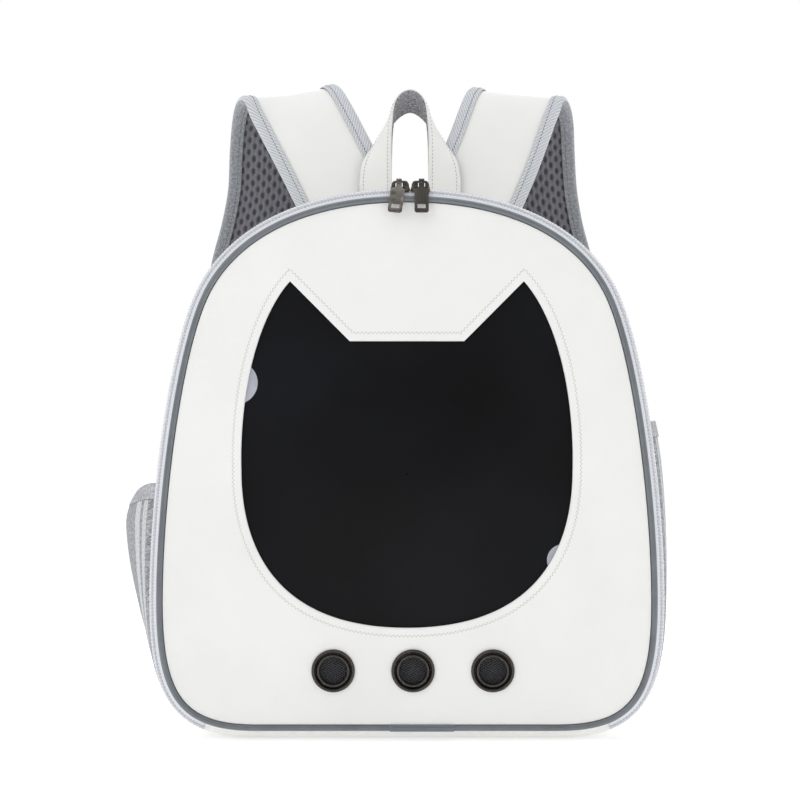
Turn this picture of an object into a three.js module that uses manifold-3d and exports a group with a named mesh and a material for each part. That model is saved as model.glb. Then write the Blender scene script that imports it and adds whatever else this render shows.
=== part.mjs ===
// Pet carrier backpack with a cat-head window, in millimetres.
// +Z is up, the front panel faces -Y and the back panel +Y.
// The origin is the centre of the flat base, on the surface that the bag stands on.
// "Left" and "right" are those of someone who looks at the front panel: left is -X.
import * as THREE from "three";
import { mergeVertices } from "three/addons/utils/BufferGeometryUtils.js";
import Module from "manifold-3d";

const wasm = await Module();
wasm.setup();

const X = new THREE.Vector3(1, 0, 0);
const Y = new THREE.Vector3(0, 1, 0);
const up = new THREE.Vector3(0, 0, 1);
const deg = Math.PI / 180;

// Clearance between pieces that touch on the real bag
const gap = 0.3;

// Body: the seam line is the outline along which panel, piping and tape are sewn together
const seamWidth = 369;
const seamHeight = 394;
const bodyDepth = 230;
const gussetBulge = 9;
const shoulderDepth = 24;
const gussetThickness = 3;
const baseThickness = 4;
const baseHalfLength = 150;
const seamBottomZ = gussetBulge;
const seamTopZ = seamBottomZ + seamHeight;
const frontSeamY = -bodyDepth / 2;
const backSeamY = bodyDepth / 2;

// Half of the seam line, as shares of half the seam width and of the seam height
const outlineTable = [
  { name: "bottom", to: [0.608, 0] },
  { name: "corner", c1: [0.906, 0], c2: [1, 0.055], to: [1, 0.237] },
  { name: "side", c1: [1, 0.433], c2: [0.921, 0.715], to: [0.812, 0.82] },
  { name: "top", c1: [0.707, 0.922], c2: [0.441, 1], to: [0, 1] },
];

// Piping, zipper and panels
const pipingRadius = 2.4;
const sleeveLength = 48;
const sleeveShift = 11;
const sleeveThickness = 0.7;
const sleeveHalfAngle = 58 * deg;
const panelThickness = 2.4;
const panelDome = 13;
const domeFullness = 2.2;
const panelCentreShare = 0.48;
const backPanelThickness = 8;
const backPanelStandsOut = 3;
const tapeThickness = 1.3;
const frontTapeWidth = 4.2;
const chainWidth = 3.8;
const chainThickness = 2.2;
const chainStandsOut = 0.6;
const rearTapeWidth = 14;

// Window: a cat head, as shares of half its width and of its height
const windowWidth = 246;
const windowHeight = 257.5;
const windowBottomZ = 84;
const windowSeam = 9;
const windowThickness = 1;
const windowGap = 0.9;
const windowBulge = 7;
const windowBulgeShare = { halfWidth: 0.92, halfHeight: 0.4, centre: 0.43 };
const earTip = [0.707, 1];
const earNotch = [0.3455, 0.826];
const catTable = [
  { name: "cheek", c1: [0.927, 0.88], c2: [1.012, 0.645], to: [1, 0.454] },
  { name: "chin", c1: [1, 0.225], c2: [0.78, 0], to: [0, 0] },
];
// Clear round tabs on the window film, tucked under the panel's edge
const tabTable = [
  { name: "film_tab_upper", x: -127, z: 266, radius: 16 },
  { name: "film_tab_lower", x: 116, z: 134, radius: 12 },
];
const tabThickness = 0.3;
const tabTuck = 4;

// Air eyelets
const eyeletSpacing = 59.3;
const eyeletShift = 4.5;
const eyeletZ = 52;
const eyeletBore = 10.3;
const eyeletBarrel = 11.8;
const eyeletFlange = 16.2;
const eyeletFlangeHeight = 1.9;
const eyeletWasherThickness = 0.8;
const eyeletWasherGap = 0.8;
const eyeletMeshThickness = 0.8;
const eyeletNames = ["left", "middle", "right"];

// Zipper sliders and pulls, either side of the point where the sliders meet
const slidersMeetX = 2.5;
const sliderLength = 14.5;
const sliderHalfWidth = 4;
const sliderPlate = 2;
const sliderNose = 0.55;
const crownFeet = 1.8;
const crownBarRadius = 1;
const crownBarHeight = 7;
const crownInset = 1.4;
const pullFromMeeting = 8.4;
const pullWidth = 10.6;
const pullLength = 27;
const pullThickness = 1.8;
const pullNeckWidth = 4.2;
const pullNeckLength = 5.4;
const pullEyeRadius = 2.5;
const pullWindow = { width: 6, height: 4.6, fromEnd: 3 };
const pullLean = { left: -7 * deg, right: 0 };

// Carry handle: inner edge and outer edge of the band, as points on its left half.
// x is from the handle's centre line, y from the back panel and z from the seam's top.
const handleShift = 2.5;
const handleLayer = 1.5;
const handleTable = [
  { part: "root", inner: [-15, 2, -20], outer: [-41, 2, -20] },
  { part: "seam", inner: [-15, 2, 14], outer: [-41, 2, 14] },
  { part: "leg", inner: [-15, 1, 45], outer: [-41, 4, 48] },
  { part: "bend", inner: [-14.5, -4, 75], outer: [-34, 9, 67] },
  { part: "shoulder", inner: [-11.5, -8, 97], outer: [-18, 15, 82] },
  { part: "top", inner: [0, -9, 106], outer: [0, 13, 90] },
];

// Shoulder straps: each one's centre line, from its root on the back panel to its lower end.
// left and right are x for the two straps, y is from the back panel and z from the base. lean is
// the angle of the strap's width above horizontal, towards the centre, and turn swings its inner
// edge back.
const strapWidth = 79;
const strapLayer = 2.4;
const strapLayerGap = 0.3;
const bindingWidth = 11;
const bindingThickness = 0.9;
const bindingGap = 1.05;
const strapTable = [
  { left: -37, right: 44, y: 8.5, z: 398, lean: 29, turn: 0 },
  { left: -48, right: 53, y: 9.2, z: 418, lean: 29, turn: 0 },
  { left: -58, right: 62, y: 13, z: 438, lean: 29, turn: 0 },
  { left: -70, right: 72, y: 19, z: 462, lean: 28, turn: 0 },
  { left: -82, right: 80.5, y: 27, z: 485, lean: 25, turn: 2 },
  { left: -90, right: 86, y: 36, z: 499, lean: 19, turn: 6 },
  { left: -98, right: 92, y: 49, z: 507.5, lean: 9, turn: 11 },
  { left: -104, right: 97, y: 62, z: 503, lean: 2, turn: 11 },
  { left: -107.5, right: 100.5, y: 76, z: 489, lean: -3, turn: 7 },
  { left: -110, right: 102, y: 86, z: 465, lean: -5, turn: 3 },
  { left: -112, right: 104.5, y: 92, z: 432, lean: -8, turn: 0 },
  { left: -118, right: 110, y: 95, z: 400, lean: -12, turn: 0 },
  { left: -127, right: 119, y: 94, z: 365, lean: -12, turn: 0 },
  { left: -135, right: 128, y: 88, z: 310, lean: -8, turn: 2 },
  { left: -140, right: 136, y: 78, z: 250, lean: -4, turn: 3 },
  { left: -143, right: 141, y: 65, z: 195, lean: -2, turn: 3 },
  { left: -144, right: 143, y: 52, z: 150, lean: 0, turn: 2 },
];
const rightStrapLean = 0.85;
const strapSteps = 20;

// Lower webbing: from the adjuster on the strap's end to the bottom corner of the back panel
const webbingWidth = 25;
const webbingThickness = 1.6;
const endTabLength = 14;
const adjusterWidth = 34;
const adjusterHeight = 26;
const adjusterThickness = 4;
const adjusterSlot = { width: 26, height: 4.5, fromCentre: 5.6 };
const webbingTable = [
  { x: 0, y: 0, z: 0 },
  { x: 1, y: -13, z: -30 },
  { x: 4, y: -24, z: -55 },
];
const webbingFootZ = 22;
const webbingFootLength = 22;
const webbingFootX = -133;

// Side pockets: a sheet of mesh on each side of the gusset, with an elastic band at its mouth
const pocketTable = [
  { side: "left", sign: -1, mouthZ: 190, bulge: 27, sag: 10, fullness: 0.62 },
  { side: "right", sign: 1, mouthZ: 236, bulge: 8.5, sag: 0, fullness: 0.5 },
];
const pocketBottomZ = 40;
const pocketFrontY = -80;
const pocketBackY = 84;
const pocketThickness = 1.2;
const pocketBandHeight = 12;
const pocketBandThickness = 2.4;

// Facets
const archSteps = 40;
const baseSteps = 4;
const mostStep = 36;
const mostTurn = 8 * deg;
const panelRings = 4;
const pipingSides = 6;
const eyeletSides = 16;

// Closed solids from grids of points

function signedVolume(positions, index) {
  const [a, b, c] = [new THREE.Vector3(), new THREE.Vector3(), new THREE.Vector3()];
  let sum = 0;
  for (let i = 0; i < index.length; i += 3) {
    a.fromArray(positions, 3 * index[i]);
    b.fromArray(positions, 3 * index[i + 1]);
    c.fromArray(positions, 3 * index[i + 2]);
    sum += a.dot(b.cross(c)) / 6;
  }
  return sum;
}

// Vertices and triangles as a geometry whose faces point out
function closedGeometry(points, index) {
  const positions = points.flatMap((p) => p.toArray());
  if (signedVolume(positions, index) < 0) index.reverse();
  const geometry = new THREE.BufferGeometry();
  geometry.setAttribute("position", new THREE.Float32BufferAttribute(positions, 3));
  geometry.setIndex(index);
  return geometry;
}

// A wall between two grids of points, outer[i][j] and inner[i][j]; ring joins the last row to the first
function wall(outer, inner, ring = false) {
  const rows = outer.length;
  const columns = outer[0].length;
  const points = [...outer.flat(), ...inner.flat()];
  const at = (layer, i, j) => layer * rows * columns + (i % rows) * columns + j;
  const index = [];
  const quad = (a, b, c, d) => index.push(a, b, c, a, c, d);
  const lastRow = ring ? rows : rows - 1;
  for (let i = 0; i < lastRow; i++) {
    for (let j = 0; j < columns - 1; j++) {
      quad(at(0, i, j), at(0, i + 1, j), at(0, i + 1, j + 1), at(0, i, j + 1));
      quad(at(1, i, j), at(1, i, j + 1), at(1, i + 1, j + 1), at(1, i + 1, j));
    }
    quad(at(0, i, 0), at(1, i, 0), at(1, i + 1, 0), at(0, i + 1, 0));
    const j = columns - 1;
    quad(at(0, i, j), at(0, i + 1, j), at(1, i + 1, j), at(1, i, j));
  }
  if (!ring)
    for (let j = 0; j < columns - 1; j++) {
      quad(at(0, 0, j), at(0, 0, j + 1), at(1, 0, j + 1), at(1, 0, j));
      const i = rows - 1;
      quad(at(0, i, j), at(1, i, j), at(1, i, j + 1), at(0, i, j + 1));
    }
  return closedGeometry(points, index);
}

// A closed disc-like sheet between two fans of rings around a centre: front.rings[k][i] and front.centre
function domedSheet(front, back) {
  const spokes = front.rings[0].length;
  const rings = front.rings.length;
  const layerSize = spokes * rings + 1;
  const points = [front.centre, ...front.rings.flat(), back.centre, ...back.rings.flat()];
  const at = (layer, k, i) => layer * layerSize + 1 + k * spokes + (i % spokes);
  const index = [];
  for (let i = 0; i < spokes; i++) {
    index.push(0, at(0, 0, i), at(0, 0, i + 1));
    index.push(layerSize, at(1, 0, i + 1), at(1, 0, i));
    for (let k = 0; k < rings - 1; k++) {
      index.push(at(0, k, i), at(0, k + 1, i), at(0, k + 1, i + 1));
      index.push(at(0, k, i), at(0, k + 1, i + 1), at(0, k, i + 1));
      index.push(at(1, k, i), at(1, k + 1, i + 1), at(1, k + 1, i));
      index.push(at(1, k, i), at(1, k, i + 1), at(1, k + 1, i + 1));
    }
    const edge = rings - 1;
    index.push(at(0, edge, i), at(1, edge, i), at(1, edge, i + 1));
    index.push(at(0, edge, i), at(1, edge, i + 1), at(0, edge, i + 1));
  }
  return closedGeometry(points, index);
}

// A band along stations of { point, across, out }; the outline is [across, out] pairs in order around it
function sweep(stations, outline) {
  const corners = outline.map(([w, h]) => new THREE.Vector2(w, h));
  const section = THREE.ShapeUtils.isClockWise(corners) ? corners.reverse() : corners;
  const sides = section.length;
  const points = stations.flatMap((station) =>
    section.map(({ x, y }) =>
      station.point.clone().addScaledVector(station.across, x).addScaledVector(station.out, y),
    ),
  );
  const index = [];
  for (let k = 0; k < stations.length - 1; k++)
    for (let i = 0; i < sides; i++) {
      const [a, b] = [k * sides + i, k * sides + ((i + 1) % sides)];
      index.push(a, b, b + sides, a, b + sides, a + sides);
    }
  const flat = THREE.ShapeUtils.triangulateShape(section, []);
  const last = (stations.length - 1) * sides;
  for (const [a, b, c] of flat) {
    index.push(a, c, b);
    index.push(last + a, last + b, last + c);
  }
  return closedGeometry(points, index);
}

function rectangle(width, low, high) {
  return [[-width / 2, low], [width / 2, low], [width / 2, high], [-width / 2, high]];
}

// Joins and cuts

function toSolid(geometry) {
  const bare = geometry.index ? geometry.toNonIndexed() : geometry.clone();
  bare.deleteAttribute("normal");
  bare.deleteAttribute("uv");
  const merged = mergeVertices(bare, 1e-4);
  const vertProperties = merged.attributes.position.array;
  const triVerts = new Uint32Array(merged.index.array);
  return new wasm.Manifold(new wasm.Mesh({ numProp: 3, vertProperties, triVerts }));
}

function toGeometry(solid) {
  const { vertProperties, triVerts } = solid.getMesh();
  const geometry = new THREE.BufferGeometry();
  geometry.setAttribute("position", new THREE.Float32BufferAttribute(vertProperties, 3));
  geometry.setIndex(Array.from(triVerts));
  return geometry;
}

// Seam line and body section

function halfCurves(path, table, toPoint) {
  for (const row of table) {
    if (row.c1) path.bezierCurveTo(...toPoint(row.c1), ...toPoint(row.c2), ...toPoint(row.to));
    else path.lineTo(...toPoint(row.to));
  }
}

// The same rows walked the other way, on the mirrored side
function mirroredCurves(path, table, start, toPoint) {
  const mirror = ([w, h]) => toPoint([-w, h]);
  for (let i = table.length - 1; i >= 0; i--) {
    const to = i > 0 ? table[i - 1].to : start;
    if (table[i].c1) path.bezierCurveTo(...mirror(table[i].c2), ...mirror(table[i].c1), ...mirror(to));
    else path.lineTo(...mirror(to));
  }
}

const seamPath = new THREE.Path();
{
  const toPoint = ([w, h]) => [(w * seamWidth) / 2, seamBottomZ + h * seamHeight];
  seamPath.moveTo(0, seamBottomZ);
  halfCurves(seamPath, outlineTable, toPoint);
  mirroredCurves(seamPath, outlineTable, [0, 0], toPoint);
}
const seamLength = seamPath.getLength();

// Point and outward direction on the seam line, s from 0 at the bottom centre, round by +X, to 1
function seamAt(s) {
  const turn = ((s % 1) + 1) % 1;
  const p = seamPath.getPointAt(turn);
  const t = seamPath.getTangentAt(turn);
  return {
    point: new THREE.Vector3(p.x, 0, p.y),
    out: new THREE.Vector3(t.y, 0, -t.x).normalize(),
  };
}

// The gusset's section from the front seam to the back seam: a quarter ellipse at each end
const sectionTable = [];
{
  const quarterSteps = 40;
  const quarter = (i) => {
    const angle = (i / quarterSteps) * 90 * deg;
    return { y: shoulderDepth * (1 - Math.cos(angle)), off: gussetBulge * Math.sin(angle) };
  };
  const ends = Array.from({ length: quarterSteps + 1 }, (_, i) => quarter(i));
  const front = ends.map(({ y, off }) => ({ y: frontSeamY + y, off }));
  const back = ends.map(({ y, off }) => ({ y: backSeamY - y, off })).reverse();
  let run = 0;
  for (const row of [...front, ...back]) {
    const last = sectionTable[sectionTable.length - 1];
    if (last) run += Math.hypot(row.y - last.y, row.off - last.off);
    sectionTable.push({ run, ...row });
  }
}
const sectionLength = sectionTable[sectionTable.length - 1].run;

// Where the section is after a run of a millimetres from the front seam, and its outward direction there
function sectionAt(a) {
  const i = Math.min(
    Math.max(sectionTable.findIndex((row) => row.run >= a), 1),
    sectionTable.length - 1,
  );
  const [from, to] = [sectionTable[i - 1], sectionTable[i]];
  const share = (a - from.run) / (to.run - from.run);
  const [dy, dOff] = [to.y - from.y, to.off - from.off];
  const length = Math.hypot(dy, dOff);
  return {
    y: from.y + share * dy,
    off: from.off + share * dOff,
    outY: -dOff / length,
    outOff: dy / length,
  };
}

// A point of the body's skin at s along the seam line and a along the section, depth below the surface
function skin(s, a, depth) {
  const seam = seamAt(s);
  const section = sectionAt(a);
  const out = section.off - depth * section.outOff;
  const y = section.y - depth * section.outY;
  return seam.point.clone().addScaledVector(seam.out, out).addScaledVector(Y, y);
}

const range = (from, to, steps) =>
  Array.from({ length: steps + 1 }, (_, i) => from + ((to - from) * i) / steps);

// Stations from one value to another, closer together where a line turns; at gives its point and direction
function spread(from, to, steps, at, longest = mostStep) {
  const fine = range(from, to, 400);
  const places = fine.map(at);
  let run = 0;
  const runs = places.map(({ point, out }, i) => {
    if (i === 0) return 0;
    run += out.angleTo(places[i - 1].out) / mostTurn + point.distanceTo(places[i - 1].point) / longest;
    return run;
  });
  return range(0, run, steps).map((wanted) => {
    const i = Math.max(1, runs.findIndex((value) => value >= wanted - 1e-9));
    const share = (wanted - runs[i - 1]) / (runs[i] - runs[i - 1]);
    return fine[i - 1] + share * (fine[i] - fine[i - 1]);
  });
}

// The base panel ends where the arch over the top begins
const baseEnd = baseHalfLength / seamLength;
const baseHalf = spread(0, baseEnd, baseSteps, seamAt);
const baseStations = [...baseHalf.slice(1).map((s) => -s).reverse(), ...baseHalf];
const archHalf = spread(baseEnd, 0.5, archSteps / 2, seamAt);
const archStations = [...archHalf, ...archHalf.slice(0, -1).map((s) => 1 - s).reverse()];
const ringStations = [...baseStations.slice(0, -1), ...archStations.slice(0, -1)];

// Part of the body's skin, as a wall that stops short of both ends of its stations
function skinWall(stations, aValues, above, below) {
  const short = gap / 2 / seamLength;
  const ends = [...stations];
  ends[0] += short;
  ends[ends.length - 1] -= short;
  const side = (depth) => ends.map((s) => aValues.map((a) => skin(s, a, depth)));
  return wall(side(-above), side(below));
}

// Where each strip of the skin lies along the section
const seamEdge = pipingRadius + gap;
const frontTape = [seamEdge, seamEdge + frontTapeWidth];
const chain = [frontTape[1] + gap, frontTape[1] + gap + chainWidth];
const rearTape = [chain[1] + gap, chain[1] + gap + rearTapeWidth];
const gusset = [rearTape[1] + gap, sectionLength - seamEdge];

// Panels

// The front panel is a dome over its seam; share is 0 at its centre and 1 at its edge
const panelCentre = new THREE.Vector3(0, 0, seamBottomZ + seamHeight * panelCentreShare);

function panelRing(share, y) {
  return ringStations.map((s) => {
    const seam = seamAt(s);
    const edge = seam.point.addScaledVector(seam.out, -seamEdge);
    const point = panelCentre.clone().lerp(edge, share);
    point.y = y(point, share);
    return point;
  });
}

// Rings of points from the panel's centre to its edge
function fan(y) {
  const centre = panelCentre.clone();
  centre.y = y(panelCentre, 0);
  const shares = range(0, 1, panelRings).slice(1);
  return { centre, rings: shares.map((share) => panelRing(share, y)) };
}

const domeY = (share) => frontSeamY - panelDome * (1 - share ** domeFullness);

// How far a point is from the panel's centre, as a share of the way to the edge
const panelEdge = range(0, 1, 720).map((s) => {
  const seam = seamAt(s);
  return seam.point.addScaledVector(seam.out, -seamEdge).sub(panelCentre);
});

function panelShare(x, z) {
  const point = new THREE.Vector3(x, 0, z).sub(panelCentre);
  const nearest = panelEdge.reduce((best, edge) => (edge.angleTo(point) < best.angleTo(point) ? edge : best));
  return point.length() / nearest.length();
}

// The panel's surface over any point, and its outward direction there
function panelFace(x, z) {
  const y = (px, pz) => domeY(panelShare(px, pz)) - panelThickness / 2;
  const reach = 4;
  const slopeX = (y(x + reach, z) - y(x - reach, z)) / (2 * reach);
  const slopeZ = (y(x, z + reach) - y(x, z - reach)) / (2 * reach);
  return {
    point: new THREE.Vector3(x, y(x, z), z),
    out: new THREE.Vector3(slopeX, -1, slopeZ).normalize(),
  };
}

// The cat-head outline, set out by margin from the cut in the panel
function catOutline(margin) {
  const toPoint = ([w, h]) => [(w * windowWidth) / 2, windowBottomZ + h * windowHeight];
  const path = new THREE.Path();
  path.moveTo(...toPoint(earTip));
  halfCurves(path, catTable, toPoint);
  mirroredCurves(path, catTable, earTip, toPoint);
  const cheekSteps = 10;
  const round = path.curves.flatMap((curve) => curve.getPoints(cheekSteps).slice(1));
  const notch = [[-earNotch[0], earNotch[1]], earNotch, earTip];
  const points = [...round, ...notch.map((p) => new THREE.Vector2(...toPoint(p)))];
  return points.map((p, i) => {
    const before = points[(i + points.length - 1) % points.length];
    const after = points[(i + 1) % points.length];
    const [d1, d2] = [p.clone().sub(before).normalize(), after.clone().sub(p).normalize()];
    const [n1, n2] = [new THREE.Vector2(-d1.y, d1.x), new THREE.Vector2(-d2.y, d2.x)];
    const mitre = n1.clone().add(n2);
    return p.clone().addScaledVector(mitre, (2 * margin) / mitre.lengthSq());
  });
}

// A prism of the cat head that runs from front to back through the panel
function catPrism(margin) {
  const depth = 4 * panelDome;
  const shape = new THREE.Shape(catOutline(margin));
  const geometry = new THREE.ExtrudeGeometry(shape, { depth, bevelEnabled: false });
  geometry.rotateX(90 * deg).translate(0, frontSeamY + depth / 2, 0);
  return toSolid(geometry);
}

function eyeletPlace(i) {
  return panelFace(eyeletShift + (i - 1) * eyeletSpacing, eyeletZ);
}

// Turns a geometry made around +Z so that +Z points out of the panel, and puts it there
function seatOn({ point, out }, geometry) {
  geometry.applyQuaternion(new THREE.Quaternion().setFromUnitVectors(up, out));
  return geometry.translate(...point.toArray());
}

function frontPanel() {
  const outer = fan((_, share) => domeY(share) - panelThickness / 2);
  const inner = fan((_, share) => domeY(share) + panelThickness / 2);
  let panel = toSolid(domedSheet(outer, inner)).subtract(catPrism(0));
  for (let i = 0; i < eyeletNames.length; i++) {
    const hole = new THREE.CylinderGeometry(
      eyeletBarrel + gap, eyeletBarrel + gap, 8 * panelThickness, eyeletSides);
    panel = panel.subtract(toSolid(seatOn(eyeletPlace(i), hole.rotateX(90 * deg))));
  }
  return toGeometry(panel);
}

// The film lies behind the panel round its seam, and bulges out through the cat head
function filmY(point, share) {
  const { halfWidth, halfHeight, centre } = windowBulgeShare;
  const u = point.x / ((halfWidth * windowWidth) / 2);
  const v = (point.z - windowBottomZ - centre * windowHeight) / (halfHeight * windowHeight);
  const r = Math.min(1, Math.hypot(u, v));
  return domeY(share) + panelThickness / 2 + windowGap - windowBulge * (1 - r * r) ** 2;
}

// A sheet that follows the film, from one depth behind its face to another
function filmSheet(front, back) {
  const side = (depth) => fan((point, share) => filmY(point, share) + depth);
  return toSolid(domedSheet(side(front), side(back)));
}

function window() {
  return toGeometry(filmSheet(0, windowThickness).intersect(catPrism(windowSeam)));
}

// Round tabs on the film, between it and the panel
function filmTab({ x, z, radius }) {
  const disc = new THREE.CylinderGeometry(radius, radius, 6 * panelDome, 24);
  const sheet = filmSheet(-gap - tabThickness, -gap);
  const inside = sheet.intersect(toSolid(disc.translate(x, frontSeamY, z)));
  return toGeometry(inside.intersect(catPrism(tabTuck)));
}

// A turned metal ring: rolled flange on the front, barrel through the panel, washer behind
function eyelet() {
  const face = 0;
  const washer = -panelThickness - eyeletWasherGap;
  const back = washer - eyeletWasherThickness;
  const middle = (eyeletBore + eyeletFlange) / 2;
  const profile = [
    [eyeletBore, back],
    [eyeletBore, face + eyeletFlangeHeight * 0.75],
    [eyeletBore + 0.7, face + eyeletFlangeHeight],
    [eyeletBore + 1.7, face + eyeletFlangeHeight * 0.6],
    [middle + 0.8, face + eyeletFlangeHeight * 0.95],
    [eyeletFlange - 0.9, face + eyeletFlangeHeight * 0.8],
    [eyeletFlange, face + gap],
    [eyeletBarrel, face + gap],
    [eyeletBarrel, washer],
    [eyeletFlange - 1.5, washer],
    [eyeletFlange - 1.5, back],
    [eyeletBore, back],
  ].map(([r, z]) => new THREE.Vector2(r, z));
  return new THREE.LatheGeometry(profile.reverse(), eyeletSides).rotateX(90 * deg);
}

function eyeletMesh() {
  const depth =
    panelThickness + eyeletWasherGap + eyeletWasherThickness + gap + eyeletMeshThickness / 2;
  const radius = eyeletFlange - 1.5;
  return new THREE.CylinderGeometry(radius, radius, eyeletMeshThickness, eyeletSides)
    .rotateX(90 * deg)
    .translate(0, 0, -depth);
}

function backPanel() {
  const front = backSeamY + backPanelStandsOut - backPanelThickness;
  const flat = (y) => ({
    centre: panelCentre.clone().setY(y),
    rings: [panelRing(1, () => y)],
  });
  return domedSheet(flat(front), flat(backSeamY + backPanelStandsOut));
}

// A cord of piping along the whole seam line
function piping(y) {
  const rows = ringStations.map((s) => {
    const seam = seamAt(s);
    return range(0, 360, pipingSides).slice(0, -1).map((angle) =>
      seam.point
        .clone()
        .addScaledVector(seam.out, pipingRadius * Math.cos(angle * deg))
        .addScaledVector(Y, y + pipingRadius * Math.sin(angle * deg)),
    );
  });
  const index = [];
  const at = (i, j) => (i % rows.length) * pipingSides + (j % pipingSides);
  for (let i = 0; i < rows.length; i++)
    for (let j = 0; j < pipingSides; j++) {
      index.push(at(i, j), at(i + 1, j), at(i + 1, j + 1));
      index.push(at(i, j), at(i + 1, j + 1), at(i, j + 1));
    }
  return closedGeometry(rows.flat(), index);
}

// The wrap that covers the joint in the piping, below the panel
function pipingSleeve() {
  const arc = (radius) =>
    range(-sleeveHalfAngle, sleeveHalfAngle, 8).map(
      (angle) => new THREE.Vector2(radius * Math.sin(angle), radius * Math.cos(angle)),
    );
  const inside = pipingRadius + gap;
  const section = [...arc(inside), ...arc(inside + sleeveThickness).reverse()];
  const stations = [-0.5, 0.5].map((end) => ({
    point: new THREE.Vector3(sleeveShift + end * sleeveLength, frontSeamY, seamBottomZ),
    across: up,
    out: new THREE.Vector3(0, -1, 0),
  }));
  return sweep(stations, section.map((p) => [p.x, p.y]));
}

// Zipper sliders, on the chain where the seam line crosses the top

const chainTop = skin(0.5, (chain[0] + chain[1]) / 2, -chainStandsOut);
const chainTilt = (() => {
  const { outY, outOff } = sectionAt((chain[0] + chain[1]) / 2);
  return Math.atan2(-outY, outOff);
})();

// A half outline of the slider's plate, nose at x = 0 and tail at x = length, mirrored about the chain
function sliderPlateShape() {
  const nose = sliderHalfWidth * sliderNose;
  const shape = new THREE.Shape();
  shape.moveTo(0, -nose);
  shape.quadraticCurveTo(sliderLength * 0.3, -sliderHalfWidth, sliderLength * 0.5, -sliderHalfWidth);
  shape.lineTo(sliderLength * 0.9, -sliderHalfWidth);
  shape.lineTo(sliderLength, -sliderHalfWidth * 0.7);
  shape.lineTo(sliderLength, sliderHalfWidth * 0.7);
  shape.lineTo(sliderLength * 0.9, sliderHalfWidth);
  shape.lineTo(sliderLength * 0.5, sliderHalfWidth);
  shape.quadraticCurveTo(sliderLength * 0.3, sliderHalfWidth, 0, nose);
  return shape;
}

function slider() {
  const plate = new THREE.ExtrudeGeometry(sliderPlateShape(), {
    depth: sliderPlate, bevelEnabled: false, curveSegments: 5,
  }).translate(0, 0, gap);
  const barFrom = crownInset;
  const barTo = sliderLength - crownInset;
  const bar = new THREE.CylinderGeometry(crownBarRadius, crownBarRadius, barTo - barFrom, 10)
    .rotateZ(90 * deg)
    .translate((barFrom + barTo) / 2, 0, crownBarHeight);
  let made = toSolid(plate).add(toSolid(bar));
  const footBottom = gap + sliderPlate / 2;
  for (const x of [barFrom + crownFeet / 2, barTo - crownFeet / 2]) {
    const height = crownBarHeight + crownBarRadius - footBottom;
    const foot = new THREE.BoxGeometry(crownFeet, 2.4 * crownBarRadius, height);
    foot.translate(x, 0, footBottom + height / 2);
    made = made.add(toSolid(foot));
  }
  return toGeometry(made);
}

// The bar that a pull swings on, and the angle at which the pull rests on the piping
const barCentre = new THREE.Vector3(0, 0, crownBarHeight).applyAxisAngle(X, chainTilt).add(chainTop);
const pullRest = (() => {
  const toPiping = Math.hypot(barCentre.y - frontSeamY, barCentre.z - seamTopZ);
  const below = Math.atan2(barCentre.y - frontSeamY, barCentre.z - seamTopZ);
  return below + Math.asin((pipingRadius + pullThickness / 2 + gap) / toPiping);
})();

// Hangs along -Z from its eye, whose axis is X, with its face towards -Y
function pull(lean) {
  const half = pullWidth / 2;
  const corner = 1.2;
  const tab = new THREE.Shape([
    [-pullNeckWidth / 2, -pullNeckLength], [-half, -pullNeckLength - corner],
    [-half, -pullLength + corner], [-half + corner, -pullLength],
    [half - corner, -pullLength], [half, -pullLength + corner],
    [half, -pullNeckLength - corner], [pullNeckWidth / 2, -pullNeckLength],
  ].map(([x, z]) => new THREE.Vector2(x, z)));
  const low = -pullLength + pullWindow.fromEnd;
  const [w, h] = [pullWindow.width / 2, pullWindow.height];
  tab.holes.push(new THREE.Path(
    [[-w, low], [-w, low + h], [w, low + h], [w, low]].map(([x, z]) => new THREE.Vector2(x, z)),
  ));
  const flat = { depth: pullThickness, bevelEnabled: false };
  const plate = new THREE.ExtrudeGeometry(tab, flat).rotateX(90 * deg);
  plate.translate(0, pullThickness / 2, 0).rotateY(-lean);
  const neckHeight = pullNeckLength + 1;
  const neck = new THREE.BoxGeometry(pullNeckWidth, pullThickness, neckHeight);
  neck.translate(0, 0, -neckHeight / 2);
  const eye = new THREE.CylinderGeometry(pullEyeRadius, pullEyeRadius, pullNeckWidth, 14);
  const boreRadius = crownBarRadius + gap;
  const bore = new THREE.CylinderGeometry(boreRadius, boreRadius, 2 * pullNeckWidth, 14);
  return toGeometry(
    toSolid(neck)
      .add(toSolid(plate))
      .add(toSolid(eye.rotateZ(90 * deg)))
      .subtract(toSolid(bore.rotateZ(90 * deg))),
  );
}

// Carry handle

// Both edges of the handle's band, mirrored about its centre line
function handleEdges(steps) {
  const place = ([x, y, z]) =>
    new THREE.Vector3(handleShift + x, backSeamY + backPanelStandsOut + y, seamTopZ + z);
  const edge = (name) => {
    const left = handleTable.map((row) => place(row[name]));
    const right = handleTable
      .slice(0, -1)
      .reverse()
      .map((row) => place([-row[name][0], row[name][1], row[name][2]]));
    return new THREE.CatmullRomCurve3([...left, ...right], false, "centripetal");
  };
  const [inner, outer] = [edge("inner"), edge("outer")];
  return range(0, 1, steps).map((t) => [inner.getPoint(t), outer.getPoint(t)]);
}

// One layer of the handle, from low to high above the band's middle; high is the outside of the loop
function handleBand(low, high) {
  const edges = handleEdges(17);
  const across = 3;
  const offsetGrid = (height) =>
    edges.map(([inner, outer], i) => {
      const before = edges[Math.max(i - 1, 0)];
      const after = edges[Math.min(i + 1, edges.length - 1)];
      return range(0, 1, across).map((share) => {
        const along = after[0].clone().lerp(after[1], share).sub(before[0].clone().lerp(before[1], share));
        const out = along.cross(outer.clone().sub(inner)).normalize();
        return inner.clone().lerp(outer, share).addScaledVector(out, height);
      });
    });
  return wall(offsetGrid(high), offsetGrid(low));
}

// Shoulder straps

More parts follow.
